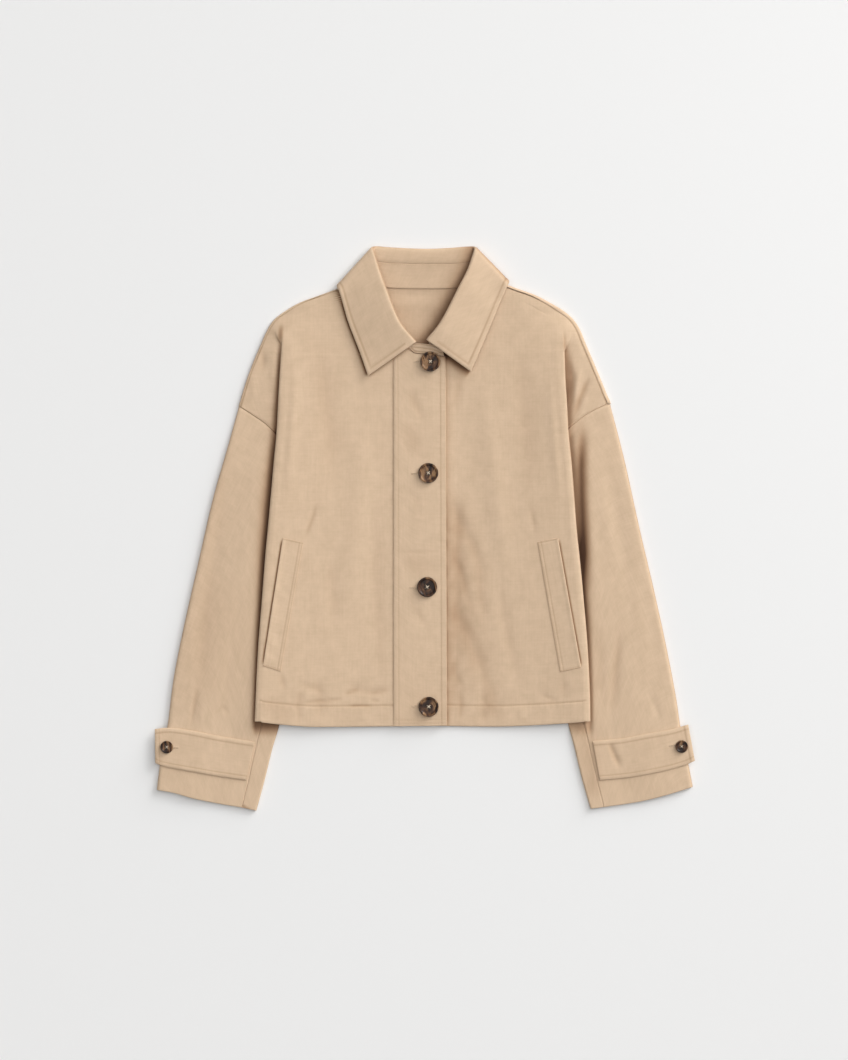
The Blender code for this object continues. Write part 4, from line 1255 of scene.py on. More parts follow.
RIGHT_FRONT = Front(
    "right", 1, LAP_DROP, 5.0, UNDERLAP_X, 28.0,
    seam=((336, 93), (329, 106), (322, 124), (314.3, 145.3), (296.7, 174.3), (285.4, 191.8), (269.7, 204),
          (249.5, 212.6), (225.2, 222.9), (200.9, 233.1), (168.5, 246.2)),
    armhole=((168.5, 246.2), (162.4, 233.1), (154.4, 218.4), (145.5, 206.7), (135.4, 195.1), (115, 184),
             (90, 176), (40, 166.5), (-40, 156)),
    fold=((300, 188), (248, 187.8), (225, 188.4), (204, 189.1), (167, 191.4), (135, 193), (90, 197.4),
          (50, 200.5), (0, 204.3), (-40, 208.5), (-92, 213.5), (-168, 219.6), (-234, 222.5), (-267, 222.9)),
    tuck=((300, -8), (270, -6), (248, -1), (225, 2), (204, 4), (167, 10), (135, 17), (90, 28), (50, 37),
          (0, 48.5), (-40, 56)),
    neck=((336, 78), (326, 76.5), (306, 71), (290, 62), (276, 50), (262, 36), (252, 22), (247, 14), (243, 6),
          (238, -14)),
    hem=((-25, -265.4), (93, -267.2), (166, -264.3), (222.9, -260.1)),
    creases=RIGHT_CREASES, cap_creases=RIGHT_CAP_CREASES, swell_turn=2.3, lapped_by=LEFT_FRONT,
    gap=((272, 3.0), (174, 5.5), (120, 4.5), (39, 5.0), (-20, 5.0), (-96, 4.6), (-170, 3.4), (-267, 2.6)),
    dark=((272, 0.3), (174, 0.6), (120, 0.45), (39, 0.4), (-40, 0.7), (-96, 0.97), (-150, 0.75), (-204, 0.45),
          (-267, 0.35)),
)


# ---------------------------------------------------------------- sleeves

@dataclass(frozen=True)
class Sleeve:
    """A two-piece sleeve laid flat, with its inner edge tucked under the body.

    Attributes:
        front: the front whose armhole it is sewn in.
        outer: (out, y) of its outer fold.
        inner: (out, y) of its inner fold.
        cuff: (out, y) of its open end.
        seam_inset: (share of the length, width) of the strip between the front seam and the inner fold.
        back_inset: how far under the outer fold the back seam lies.
        creases: creases of its upper layer.
        swell_turn: phase of its slow unevenness.
    """

    front: Front
    outer: Rows
    inner: Rows
    cuff: Rows
    seam_inset: Rows
    back_inset: float = 14.0
    creases: tuple[Crease, ...] = ()
    swell_turn: float = 0.0

    @property
    def name(self) -> str:
        """Left or right."""
        return self.front.name

    def inner_fold_out(self, y: Array) -> Array:
        """Distance out of the inner fold."""
        return read(y, [(row, out) for out, row in self.inner])

    def plan(self, u: Array, v: Array) -> Array:
        """Points (out, y) of a Coons patch: outer fold at u 0, inner at u 1, armhole at v 0, cuff at v 1."""
        armhole = [self.outer[0]] + [(out, row) for row, out in self.front.armhole[1:]]
        outer, inner = along(self.outer, v), along(self.inner, v)
        head, cuff = along(armhole, u), along(self.cuff, u)
        corners = np.array((armhole[0], armhole[-1], self.cuff[0], self.cuff[-1]), dtype=float)
        u, v = u[..., None], v[..., None]
        flat = ((1 - u) * (1 - v) * corners[0] + u * (1 - v) * corners[1] + (1 - u) * v * corners[2]
                + u * v * corners[3])
        return (1 - u) * outer + u * inner + (1 - v) * head + v * cuff - flat

    @staticmethod
    def height(u: Array, v: Array) -> Array:
        """Upper layer: puffed towards the outer fold, flat where the body lies on it."""
        return SLEEVE_Z + SLEEVE_PUFF * (1 - ease((u - 0.3) / 0.35)) * ease(v / 0.16)

    def drape(self, x: Array, y: Array, u: Array, v: Array) -> Array:
        """Creases and slow unevenness, fading to the folds and the armhole."""
        fade = ease(u / 0.1) * ease((0.93 - u) / 0.1) * ease(v / 0.03)
        rough = 0.9 * pressed(x, y, self.creases) + 0.5 * swell(x, y, self.swell_turn)
        return (rough + self.front.beside_fold(x, y) * ease((y - VALLEY_END_Y) / 30)) * fade

    def rows(self) -> Array:
        """Shares of the length: closer at the armhole and the cuff."""
        return graded((0.0, 0.06, 0.12, 0.9, 1.0), lambda v: 0.0045 if v < 0.12 or v > 0.9 else 0.0062)

    def sized(self) -> tuple[Array, Array, Array]:
        """Rows, the sleeve's width at each, and the strip's width at each."""
        v = self.rows()
        ends = self.plan(np.stack([np.zeros_like(v), np.ones_like(v)]), np.stack([v, v]))
        return v, np.linalg.norm(ends[1] - ends[0], axis=-1), read(v, self.seam_inset)

    def laid(self, part: str, across: Array, z: Array, up_at: Point,
             draped: Array) -> ClothGrid:
        """Cloth from distances across the sleeve and heights, with the drape where draped is 1."""
        v, width, _ = self.sized()
        u = across / width[:, None]
        down = np.repeat(v[:, None], u.shape[1], axis=1)
        plan = self.plan(u, down)
        x, y = self.front.sign * plan[..., 0], plan[..., 1]
        z = np.maximum(z + draped * self.drape(x, y, u, down), np.minimum(z, 2.0))
        cloth = np.stack([x, y, z], axis=-1)
        tucked = ease((z[:1] - 2.5) / 1.5)[..., None]
        cloth[:1] -= tucked * (1.9 * unit(cloth[1:2] - cloth[:1]) + (0, 0, 1.4))
        grid = ClothGrid(f"cloth_sleeve_{self.name}_{part}", cloth, up_at)
        # painted shade of the valley beside the side fold, and of the creases
        deep = self.front.painted_valley_shade(grid.x, grid.y) * ease((grid.y - VALLEY_END_Y) / 20)
        deep = deep + shaded(grid.x, grid.y, self.creases)
        grid.shade += (grid.normal[..., 2] > 0.2) * (grid.middle[..., 2] > 1.5) * deep
        return grid

    def upper(self) -> ClothGrid:
        """The upper sleeve: from the back seam round the outer fold and over to the front seam."""
        v, width, inset = self.sized()
        half = CLOTH / 2
        outer_z = self.height(np.zeros_like(v), v)
        corners = self.profile(v, [(self.back_inset, TABLE_Z), (5, TABLE_Z), (half, TABLE_Z), (half, outer_z),
                                   (6, outer_z)])
        fold = rounded(corners, (5, 8, 9))
        last = width - inset
        top = 6 + (last - 6)[:, None] * np.linspace(0, 1, 57)[1:]
        top_z = self.height(top / width[:, None], v[:, None])
        across = np.concatenate([fold[..., 0], top], axis=1)
        z = np.concatenate([fold[..., 1], top_z], axis=1)
        draped = (np.arange(across.shape[1]) > 14) * 1.0
        grid = self.laid("upper", across, z, (0.5, 0.8), draped[None, :])
        head, seam = grid.distance(Edge.TOP), grid.distance(Edge.END)
        grid.relief += 0.26 * bell(head - 1.3, 1.1) + 0.16 * bell(seam - 1.2, 1.1)
        return grid

    def under(self) -> ClothGrid:
        """The under sleeve: from the front seam round the inner fold and back underneath."""
        v, width, inset = self.sized()
        half = CLOTH / 2
        corners = self.profile(v, [(width - inset, SLEEVE_Z), (width - 5, SLEEVE_Z),
                                   (width - half, SLEEVE_Z), (width - half, TABLE_Z), (width - 5, TABLE_Z)])
        fold = rounded(corners, (12, 8, 6))
        first = self.back_inset
        low = (width - 5)[:, None] + (first - (width - 5))[:, None] * np.linspace(0, 1, 22)[1:]
        across = np.concatenate([fold[..., 0], low], axis=1)
        z = np.concatenate([fold[..., 1], np.full_like(low, TABLE_Z)], axis=1)
        u = across / width[:, None]
        waves = np.maximum(0, np.sin(u * 9 + v[:, None] * 21))
        lifted = 0.35 * waves * ease((u - 0.15) / 0.2) * ease((0.8 - u) / 0.2)
        z = z + lifted * (z <= TABLE_Z + 1e-6)
        grid = self.laid("under", across, z, (0.9, 0.03), np.zeros((1, across.shape[1])))
        grid.relief += 0.16 * bell(grid.distance(Edge.START) - 1.2, 1.1)
        return grid

    @staticmethod
    def profile(v: Array, parts: Sequence[tuple[object, object]]) -> Array:
        """Corner polygons of shape (row, corner, 2) from pairs of a distance across and a height."""
        corners = [np.stack(np.broadcast_arrays(across, z, v)[:2], axis=-1) for across, z in parts]
        return np.stack(corners, axis=1)


LEFT_SLEEVE = Sleeve(
    LEFT_FRONT,
    outer=((251.2, 165.2), (265.3, 114.5), (286.1, 41.6), (306.3, -46.2), (327.2, -139.3), (340.1, -206.1),
           (347.9, -267.6), (358.2, -320.2), (362.1, -352.6)),
    inner=((160, -40), (168, -100), (180, -180), (196.7, -264.9), (206.4, -298.2), (216.7, -340.5),
           (227.7, -381.0)),
    cuff=((362.1, -352.6), (339.4, -356.7), (313.6, -364.1), (277.4, -371.5), (249.1, -376.2),
          (227.7, -381.0)),
    seam_inset=((0, 34), (0.66, 26.5), (1, 20)),
    creases=(
        # The last number of a crease is its painted shade; those of depth 0.0 are painted shade alone.
        Crease(((-262, -40), (-286, -160), (-306, -275)), 48.0, 0.0, 0.0, 0.35, 0.06),
        Crease(((-248, 160), (-252.5, 149), (-257.5, 131)), 0.9, -0.5, 0.2, 0.3),
        Crease(((-260, 159), (-274, 79), (-286, -2), (-297, -96), (-306, -204), (-316, -262)),
               12.0, -1.3, 0.4, 0.3, 0.06),
        Crease(((-307, -207), (-312, -240), (-318, -272)), 3.2, -1.1, 0.5, 0.4, 0.14),
        Crease(((-296, -222), (-303, -252), (-306, -270)), 4.0, 0.7, 0.4, 0.45),
        Crease(((-289, -255), (-274, -241), (-260, -253)), 2.6, -0.6, 0.4, 0.4, 0.08),
        Crease(((-232, 100), (-244, 10), (-262, -90), (-276, -180)), 13.0, 0.8, 0.4, 0.4),
        Crease(((-260, -130), (-268, -190), (-272, -250)), 8.0, -0.6, 0.4, 0.4),
        Crease(((-247, -373), (-236, -381)), 2.2, 0.0, 0.0, 0.1, 0.45),
        Crease(((-322, -335), (-318, -352)), 5.0, 0.4, 0.3, 0.4),
        Crease(((-290, -345), (-288, -362)), 6.0, -0.35, 0.3, 0.4),
    ),
    swell_turn=1.1,
)
RIGHT_SLEEVE = Sleeve(
    RIGHT_FRONT,
    outer=((250.4, 168.0), (269.5, 93.4), (290.1, 0.4), (310.6, -87.3), (326.3, -159.6), (339.9, -231.1),
           (345.1, -266.2), (356.5, -320.2), (361.9, -348.6)),
    inner=((156, -40), (165, -100), (178, -180), (194.0, -264.9), (200.5, -289.2), (210.7, -331.8),
           (223.7, -378.3)),
    cuff=((361.9, -348.6), (324.1, -360.3), (285.7, -369.4), (244.5, -375.5), (223.7, -378.3)),
    seam_inset=((0, 34), (0.66, 24.6), (1, 18)),
    creases=(
        # The last number of a crease is its painted shade; those of depth 0.0 are painted shade alone.
        Crease(((212.6, 146), (212.1, 119.9), (211.4, 79.4), (212.5, 38.9), (215.2, -15), (217.5, -96)),
               6.0, -2.4, 0.2, 0.16),
        Crease(((212, 158), (212.1, 119.9), (211.4, 79.4), (212.5, 38.9), (215.2, -15), (217.5, -96)),
               7.0, 0.0, 0.0, 0.28, 0.85),
        Crease(((246, 120), (258, 40), (276, -60), (290, -150)), 10.0, -0.7, -0.4, 0.4),
        Crease(((228, 110), (240, 30), (256, -70)), 9.0, 0.7, 0.3, 0.4),
        Crease(((270, -30), (286, -110), (302, -200)), 9.0, 0.5, 0.3, 0.4),
        Crease(((263, -120), (259, -165), (254, -215), (249, -265)), 6.0, -1.3, 0.5, 0.4, 0.13),
        Crease(((232, -110), (236, -170), (238, -225), (240, -268)), 7.0, -0.6, 0.4, 0.4, 0.06),
        Crease(((246, -284), (254, -303), (265, -327)), 4.0, -1.6, 0.5, 0.4, 0.2),
        Crease(((214, -250), (224, -320), (232, -372)), 14.0, 0.0, 0.0, 0.2, 0.14),
        Crease(((300, -215), (312, -246), (318, -266)), 5.0, -0.8, 0.5, 0.45),
        Crease(((330, -330), (327, -348)), 5.0, 0.4, 0.3, 0.4),
        Crease(((280, -345), (277, -364)), 6.0, -0.35, 0.3, 0.4),
    ),
    swell_turn=3.9,
)


# ---------------------------------------------------------------- back

ROLLED = 12  # stretches round the roll over a shoulder


@dataclass(frozen=True)
class BackPanel:
    """The back: flat on the table between the sleeves, rolled over the shoulders to the shoulder seams.

    Attributes:
        collar_wrap: how much less it turns over the shoulder under the collar's corner.
        creases: creases of the part that shows inside the neck, and shallow ones underneath.
    """

    collar_wrap: float = 1.5
    creases: tuple[Crease, ...] = (
        Crease(((-22, 318), (-16, 296), (-9, 272)), 5.0, 0.5, 0.3, 0.4),
        Crease(((18, 312), (11, 290), (4, 268)), 6.0, 0.45, -0.3, 0.4),
        Crease(((-130, 250), (-90, 150), (-110, 20)), 9.0, 0.5, 0.3, 0.3),
        Crease(((120, 230), (98, 90), (116, -60)), 8.0, 0.55, 0.3, 0.3),
        Crease(((-60, 60), (-20, -60), (-34, -190)), 10.0, 0.45, 0.4, 0.3),
        Crease(((40, 180), (62, 60), (48, -90)), 7.0, 0.4, -0.3, 0.4),
        Crease(((-140, -120), (-60, -160), (30, -150)), 6.0, 0.5, 0.3, 0.4),
        Crease(((70, -190), (120, -215), (160, -205)), 5.0, 0.4, 0.3, 0.4),
    )

    def coarse(self) -> tuple[Array, Array, tuple[int, int]]:
        """Pattern rows: y, points of shape (row, column, 3), and where the flat middle starts and ends."""
        left_tip, right_tip = LEFT_FRONT.tip_y + 0.8, RIGHT_FRONT.tip_y + 0.1
        y = np.array((*SHOULDER_ROWS, right_tip, left_tip, 150, 125, 90, 40, *SIDE_ROWS), dtype=float)
        base_z = TABLE_Z + back_lift(y)
        opening = read(y, ((323, 60), (330, 70), (336, 76)))
        steps = np.radians(np.linspace(90, -90, ROLLED + 1))
        sides = []
        for front, sleeve in ((LEFT_FRONT, LEFT_SLEEVE), (RIGHT_FRONT, RIGHT_SLEEVE)):
            radius = (SLEEVE_Z - TABLE_Z) / 2
            hidden = 1.5 * ease((150 - y) / 25) + 6 * ease(-y / 40)
            below = np.where(y >= UNDERARM_Y, front.seam_out(y) - 0.6 - hidden,
                             sleeve.inner_fold_out(np.minimum(y, UNDERARM_Y)) - 8 - SEAM_GAP)
            stretch = front.seam_stretch(y)
            covered = under_collar(y)
            wrap = front.wrap - self.collar_wrap * covered
            centre = np.where(y >= front.tip_y, front.seam_out(y) - 0.5 * covered * stretch, below)
            reach = (wrap - CLOTH / 2 - SEAM_GAP) * stretch
            wrap_out = centre[:, None] + reach[:, None] * np.cos(steps)
            wrap_z = (base_z + radius)[:, None] + radius * np.sin(steps)
            share = np.concatenate([[0.06, 0.12], np.linspace(0.12, 1.0, 12)[1:]])
            flat_out = centre[:, None] + (opening - centre)[:, None] * share
            out = np.concatenate([wrap_out, flat_out], axis=1)
            z = np.concatenate([wrap_z, np.repeat(base_z[:, None], len(share), axis=1)], axis=1)
            sides.append(np.stack(np.broadcast_arrays(front.sign * out, y[:, None], z), axis=-1))
        middle = np.stack(np.broadcast_arrays(np.linspace(-50, 50, 13), y[:, None], base_z[:, None]), axis=-1)
        points = np.concatenate([sides[0], middle, sides[1][:, ::-1]], axis=1)
        return y, points, (sides[0].shape[1] - 1, points.shape[1] - sides[1].shape[1])

    def piece(self, material: Material) -> Object:
        """The back as a sheet with its neck cut out, given its thickness by a Solidify modifier.

        Rows between the pattern's are on the monotone cubic through them. The rolls end at the shoulder tips.
        """
        rows, coarse, (first, last) = self.coarse()
        y = graded(rows, lambda at: 3.0 if at > 150 else 7.0)
        points = smooth(-y, -rows, coarse)
        wide = np.arange(points.shape[1])
        flat = (wide > ROLLED) & (wide < points.shape[1] - 1 - ROLLED)
        lift = pressed(points[..., 0], points[..., 1], self.creases)
        at_neck = ease((points[..., 1] - 314) / 9) * ease((74 - np.abs(points[..., 0])) / 14)
        points[..., 2] += flat * (np.maximum(lift, 0) + 0.9 * at_neck)
        points[..., 1] += flat * 2.6 * at_neck
        keep = np.ones((len(y) - 1, points.shape[1] - 1), dtype=bool)
        keep[y[1:] < LEFT_FRONT.tip_y + 0.7, :ROLLED] = False
        keep[y[1:] < RIGHT_FRONT.tip_y, -ROLLED:] = False
        keep[y[1:] > 322, first:last] = False
        index = np.arange(math.prod(points.shape[:2])).reshape(points.shape[:2])
        faces = grid_faces(index)[keep.ravel()]
        used, corners = np.unique(faces, return_inverse=True)
        flat_points = points.reshape(-1, 3)[used]
        step = np.linalg.norm(np.diff(points, axis=1), axis=-1)
        run = np.cumsum(step, axis=1)
        across = np.insert(run, 0, 0.0, axis=1) - run[:, [len(wide) // 2]]
        spread = np.stack([across, points[..., 1]], axis=-1).reshape(-1, 2)[used] * MM
        piece = mesh_piece("cloth_back_panel", flat_points, corners.reshape(-1, 4), material, spread)
        # painted shade inside the neck, on the part of the back that shows there
        inside = (np.abs(flat_points[:, 0]) < 90) & (flat_points[:, 1] > 220) & (flat_points[:, 2] < 4)
        write_painted_shade(piece, inside * COLLAR.painted_shade_inside(flat_points[:, 0], flat_points[:, 1]))
        wall = piece.modifiers.new("wall", "SOLIDIFY")
        wall.thickness = CLOTH * MM
        wall.offset = 0
        return piece


# ---------------------------------------------------------------- placket, welts and straps

PLACKET_HEM_ROWS = ((3.2, 0.2), (8.2, 0.26))


@dataclass(frozen=True)
class Placket:
    """The strip along the left front's free edge, topstitched near both long edges and twice at the hem.

    Attributes:
        lift: how far its middle surface lies above the front's.
    """

    lift: float = PLY + 0.2

    def grid(self) -> ClothGrid:
        """Cloth between two upright edges, from the hem to the neckline, a ply above the front."""
        x = graded((PLACKET_LEFT_X, PLACKET_LEFT_X + 10, PLACKET_RIGHT_X - 10, PLACKET_RIGHT_X),
                   lambda at: 0.95 if at < PLACKET_LEFT_X + 10 or at > PLACKET_RIGHT_X - 10 else 2.6)
        share = graded((1.0, 0.97, 0.03, 0.0), lambda at: 0.0022 if at < 0.03 or at > 0.97 else 0.0048)
        share = share[:, None]
        x = x + PLACKET_FLARE * ((x - PLACKET_LEFT_X) / (PLACKET_RIGHT_X - PLACKET_LEFT_X)) * (1 - share)
        bottom = read(-x, LEFT_FRONT.hem)
        top = read(-x, [(neck, row) for row, neck in LEFT_FRONT.neck[3:]])
        y = bottom + (top - 1.0 - bottom) * share
        z = LEFT_FRONT.height(-x, y) + self.lift + LEFT_FRONT.drape(x, y)
        return ClothGrid("cloth_placket", np.stack([x, y, z], axis=-1), (0.5, 0.5))

    def finished(self) -> Sewn:
        """The placket with its stitching pressed in, and the paths of its stitches."""
        grid = self.grid()
        grid.stitched(Edge.START, EDGE_STITCH, 0.12, 0.15)
        grid.stitched(Edge.END, EDGE_STITCH, 0.1, 0.2)
        grid.relief -= 0.5 * bell(grid.distance(Edge.START), 2.2)
        low_down = ease((-130 - grid.y) / 130)
        # painted shade along the free edge, from the creases, and deepening towards the hem
        grid.shade += 0.12 * bell(grid.distance(Edge.END), 1.2)
        grid.shade += shaded(grid.x, grid.y, LEFT_CREASES) + 0.04 * low_down
        low = grid.distance(Edge.BOTTOM)
        for inset, groove in PLACKET_HEM_ROWS:
            grid.relief -= groove * bell(low - inset, 0.9)
        (lower, _), (upper, _) = PLACKET_HEM_ROWS
        lines = [grid.line(Edge.START, EDGE_STITCH).cut(2, 3), grid.line(Edge.END, EDGE_STITCH).cut(2, 3),
                 grid.line(Edge.BOTTOM, upper).cut(8, 8), grid.line(Edge.BOTTOM, lower).cut(3, 3)]
        return grid, lines

    @staticmethod
    def buttonholes(grid: ClothGrid) -> list[Buttonhole]:
        """One level buttonhole to the left of each front button."""
        return [Buttonhole(*grid.spot(x - 17.3, y), 0.0, 12.6) for x, y in BUTTON_PLACES]


WELT_ROWS = ((1.0, 0.1), (4.8, 0.14))
WELT_END_STITCH = 1.8


@dataclass(frozen=True)
class Welt:
    """A slanted pocket welt on a front.

    Attributes:
        front: the front it lies on.
        corners: plan points: top outer, top inner, low outer, low inner.
        gape: how far its outer edge stands open.
        thick: thickness of its wall.
    """

    front: Front
    corners: Rows
    gape: float = 0.75
    thick: float = 0.7

    def mouth_shade(self) -> Crease:
        """Painted shade of the pocket's opening: a dark line just past the welt's outer edge, where the slit
        lies in shade.
        """
        top, _, low, _ = self.corners
        return Crease([(x + 0.9 * self.front.sign, y) for x, y in (top, low)], 1.4, 0.0, fade=0.05, shade=0.8)

    def finished(self) -> Sewn:
        """Cloth between four corners, a ply above its front, with a double row inside its inner edge."""
        top_outer, top_inner, low_outer, low_inner = np.array(self.corners, dtype=float)
        across = graded((0, 0.3, 0.7, 1.0), lambda at: 0.035 if 0.3 < at < 0.7 else 0.025)[None, :, None]
        down = graded((0, 0.04, 0.96, 1.0), lambda at: 0.006 if 0.04 < at < 0.96 else 0.005)[:, None, None]
        top = top_outer + (top_inner - top_outer) * across
        low = low_outer + (low_inner - low_outer) * across
        plan = top + (low - top) * down
        x, y = plan[..., 0], plan[..., 1]
        open_edge = np.exp(-across[..., 0] * 27 / 8)
        open_edge = open_edge * np.sin(math.pi * np.clip(down[..., 0], 0.02, 0.98)) ** 0.4
        z = self.front.height(np.abs(x), y) + self.front.drape(x, y)
        z = z + CLOTH / 2 + self.thick / 2 + 0.1 + self.gape * open_edge
        cloth = np.stack([x, y, z], axis=-1)
        grid = ClothGrid(f"cloth_welt_{self.front.name}", cloth, (0.5, 0.5), self.thick)
        inner = grid.distance(Edge.END)
        grid.relief += 0.08 * bell(inner - 2.6, 1.5)
        # stitch grooves, with painted shade in them
        for inset, groove in WELT_ROWS:
            grid.relief -= groove * bell(inner - inset, 0.8)
            grid.shade += groove * bell(inner - inset, 0.9)
        # the ends: stitch grooves, and painted shade along the borders
        for edge in (Edge.TOP, Edge.BOTTOM):
            grid.relief -= 0.3 * bell(grid.distance(edge) - WELT_END_STITCH, 0.8)
            grid.shade += 0.2 * bell(grid.distance(edge), 1.4)
        slant = grid.distance(Edge.TOP) + 0.8 * self.front.sign * grid.x
        grid.relief += 0.12 * ripple(slant, 5.2, 1.4, 17) * ease(inner / 9) * ease((30 - inner) / 9)
        grid.relief += 0.3 * bell(grid.distance(Edge.START) - 2.0, 2.2)
        # painted shade from the front's creases
        grid.shade += shaded(grid.x, grid.y, self.front.creases)
        (outer_row, _), (inner_row, _) = WELT_ROWS
        lines = [grid.line(Edge.END, inner_row).cut(2, 2), grid.line(Edge.END, outer_row).cut(1, 1),
                 *(grid.line(edge, WELT_END_STITCH).cut(2, 2) for edge in (Edge.TOP, Edge.BOTTOM))]
        return grid, lines


STRAP_STITCH = 6.0
STRAP_DOWN = 0.86


@dataclass(frozen=True)
class CuffStrap:
    """A cuff strap: square free end past the sleeve's outer fold, other end caught in the front sleeve seam.

    Attributes:
        sleeve: the sleeve it lies on.
        top: plan points of its upper edge, from the free end.
        bottom: plan points of its lower edge.
        button: plan place of its button.
    """

    sleeve: Sleeve
    top: Rows
    bottom: Rows
    button: Point

    def finished(self) -> Sewn:
        """Cloth between the two edges, a ply above the sleeve, topstitched on three sides."""
        share = graded((0, 0.1, 1.0), lambda at: 0.009 if at < 0.1 else 0.017)
        top, bottom = along(self.top, share), along(self.bottom, share)
        across = graded((0, 0.24, 0.76, 1.0), lambda at: 0.06 if 0.24 < at < 0.76 else 0.022)[None, :, None]
        plan = top[:, None, :] + (bottom - top)[:, None, :] * across
        u = np.clip(share * 1.02 - 0.08, 0, 1) * 0.87
        z = self.sleeve.height(u, np.full_like(u, STRAP_DOWN)) + PLY + SEAM_GAP
        x, y = plan[..., 0], plan[..., 1]
        sleeve_u = np.repeat(u[:, None], x.shape[1], axis=1)
        still = 1 - near(x, y, self.button, CUFF_BUTTON_CALM)
        z = z[:, None] + self.sleeve.drape(x, y, sleeve_u, np.full_like(sleeve_u, STRAP_DOWN)) * still
        grid = ClothGrid(f"cloth_strap_{self.sleeve.name}", np.stack([x, y, z], axis=-1), (0.5, 0.5))
        for edge in (Edge.START, Edge.END, Edge.TOP):
            grid.stitched(edge, STRAP_STITCH, 0.26, 0.3)
            grid.relief -= 0.45 * bell(grid.distance(edge), 2.4)
        # painted shade from the sleeve's creases
        grid.shade += shaded(grid.x, grid.y, self.sleeve.creases)
        lines = [grid.line(edge, STRAP_STITCH).cut(STRAP_STITCH, end)
                 for edge, end in ((Edge.START, 1), (Edge.END, 1), (Edge.TOP, STRAP_STITCH))]
        return grid, lines

    def buttonhole(self, grid: ClothGrid) -> Buttonhole:
        """The buttonhole on the sleeve's side of the button."""
        return Buttonhole(*grid.spot(self.button[0] - self.sleeve.front.sign * 11.5, self.button[1]),
                          8.0 * self.sleeve.front.sign, 8.6, 2.7, 44)


WELTS = (
    Welt(LEFT_FRONT, ((-191.8, -12.7), (-164.4, -18.8), (-218.3, -184.5), (-194.7, -192.6))),
    Welt(RIGHT_FRONT, ((179.6, -12.4), (152.0, -18.1), (210.7, -187.0), (182.4, -193.6)), 0.35),
)
STRAPS = (
    CuffStrap(LEFT_SLEEVE,
              ((-364.6, -270.3), (-348.4, -268.5), (-320.1, -271.6), (-278.8, -279.7), (-229.4, -287.8)),
              ((-364.0, -316.2), (-356.8, -319.5), (-312.3, -328.3), (-277.4, -334.4), (-241.4, -339.7)),
              (-348.4, -294.6)),
    CuffStrap(RIGHT_SLEEVE,
              ((355.5, -264.1), (330.9, -271.2), (298.5, -277.0), (259.9, -283.8), (226.2, -286.5)),
              ((364.5, -313.1), (350.3, -319.5), (311.6, -329.3), (270.1, -336.4), (236.0, -339.7)),
              (346.4, -293.8)),
)


# ---------------------------------------------------------------- collar

@dataclass(frozen=True)
class CollarHalf:
    """Stations of one side of the collar, from the leaf's front end to the side of the neck.

    Attributes:
        roll: points (x, y, z) of the crease that the leaf turns over on.
        edge: points of its free edge.
        neck: points of the stand's neck seam.
        seam_in: how far in from the crease leaf and stand meet.
        seam_down: how far below the leaf they meet.
        corner_roll: plan point of the crease where the collar turns round the shoulder.
        corner_edge: plan point of the free edge there.
        corner_neck: plan point of the neck seam there.
    """

    roll: Rows
    edge: Rows
    neck: Rows
    seam_in: Sequence[float]
    seam_down: Sequence[float]
    corner_roll: Point
    corner_edge: Point
    corner_neck: Point


@dataclass(frozen=True)
class Station:
    """A cut across the collar.

    Attributes:
        roll: point on the crease.
        edge: point on the leaf's free edge.
        neck: point on the stand's neck seam.
        normal: direction in which the leaf's right side faces.
        seam_in: how far in from the crease leaf and stand meet.
        seam_down: how far below the leaf they meet.
        deep: how far below the crease the leaf's roll reaches.
    """

    roll: Array
    edge: Array
    neck: Array
    normal: Array
    seam_in: float
    seam_down: float
    deep: float

    def run(self) -> Array:
        """Direction from the crease to the free edge."""
        return unit(self.edge - self.roll)

    def seam(self, gap: float) -> Array:
        """Where leaf and stand meet: in from the crease and down from the leaf, gap short of the seam."""
        return self.roll + self.run() * (self.seam_in + gap) - self.normal * self.seam_down


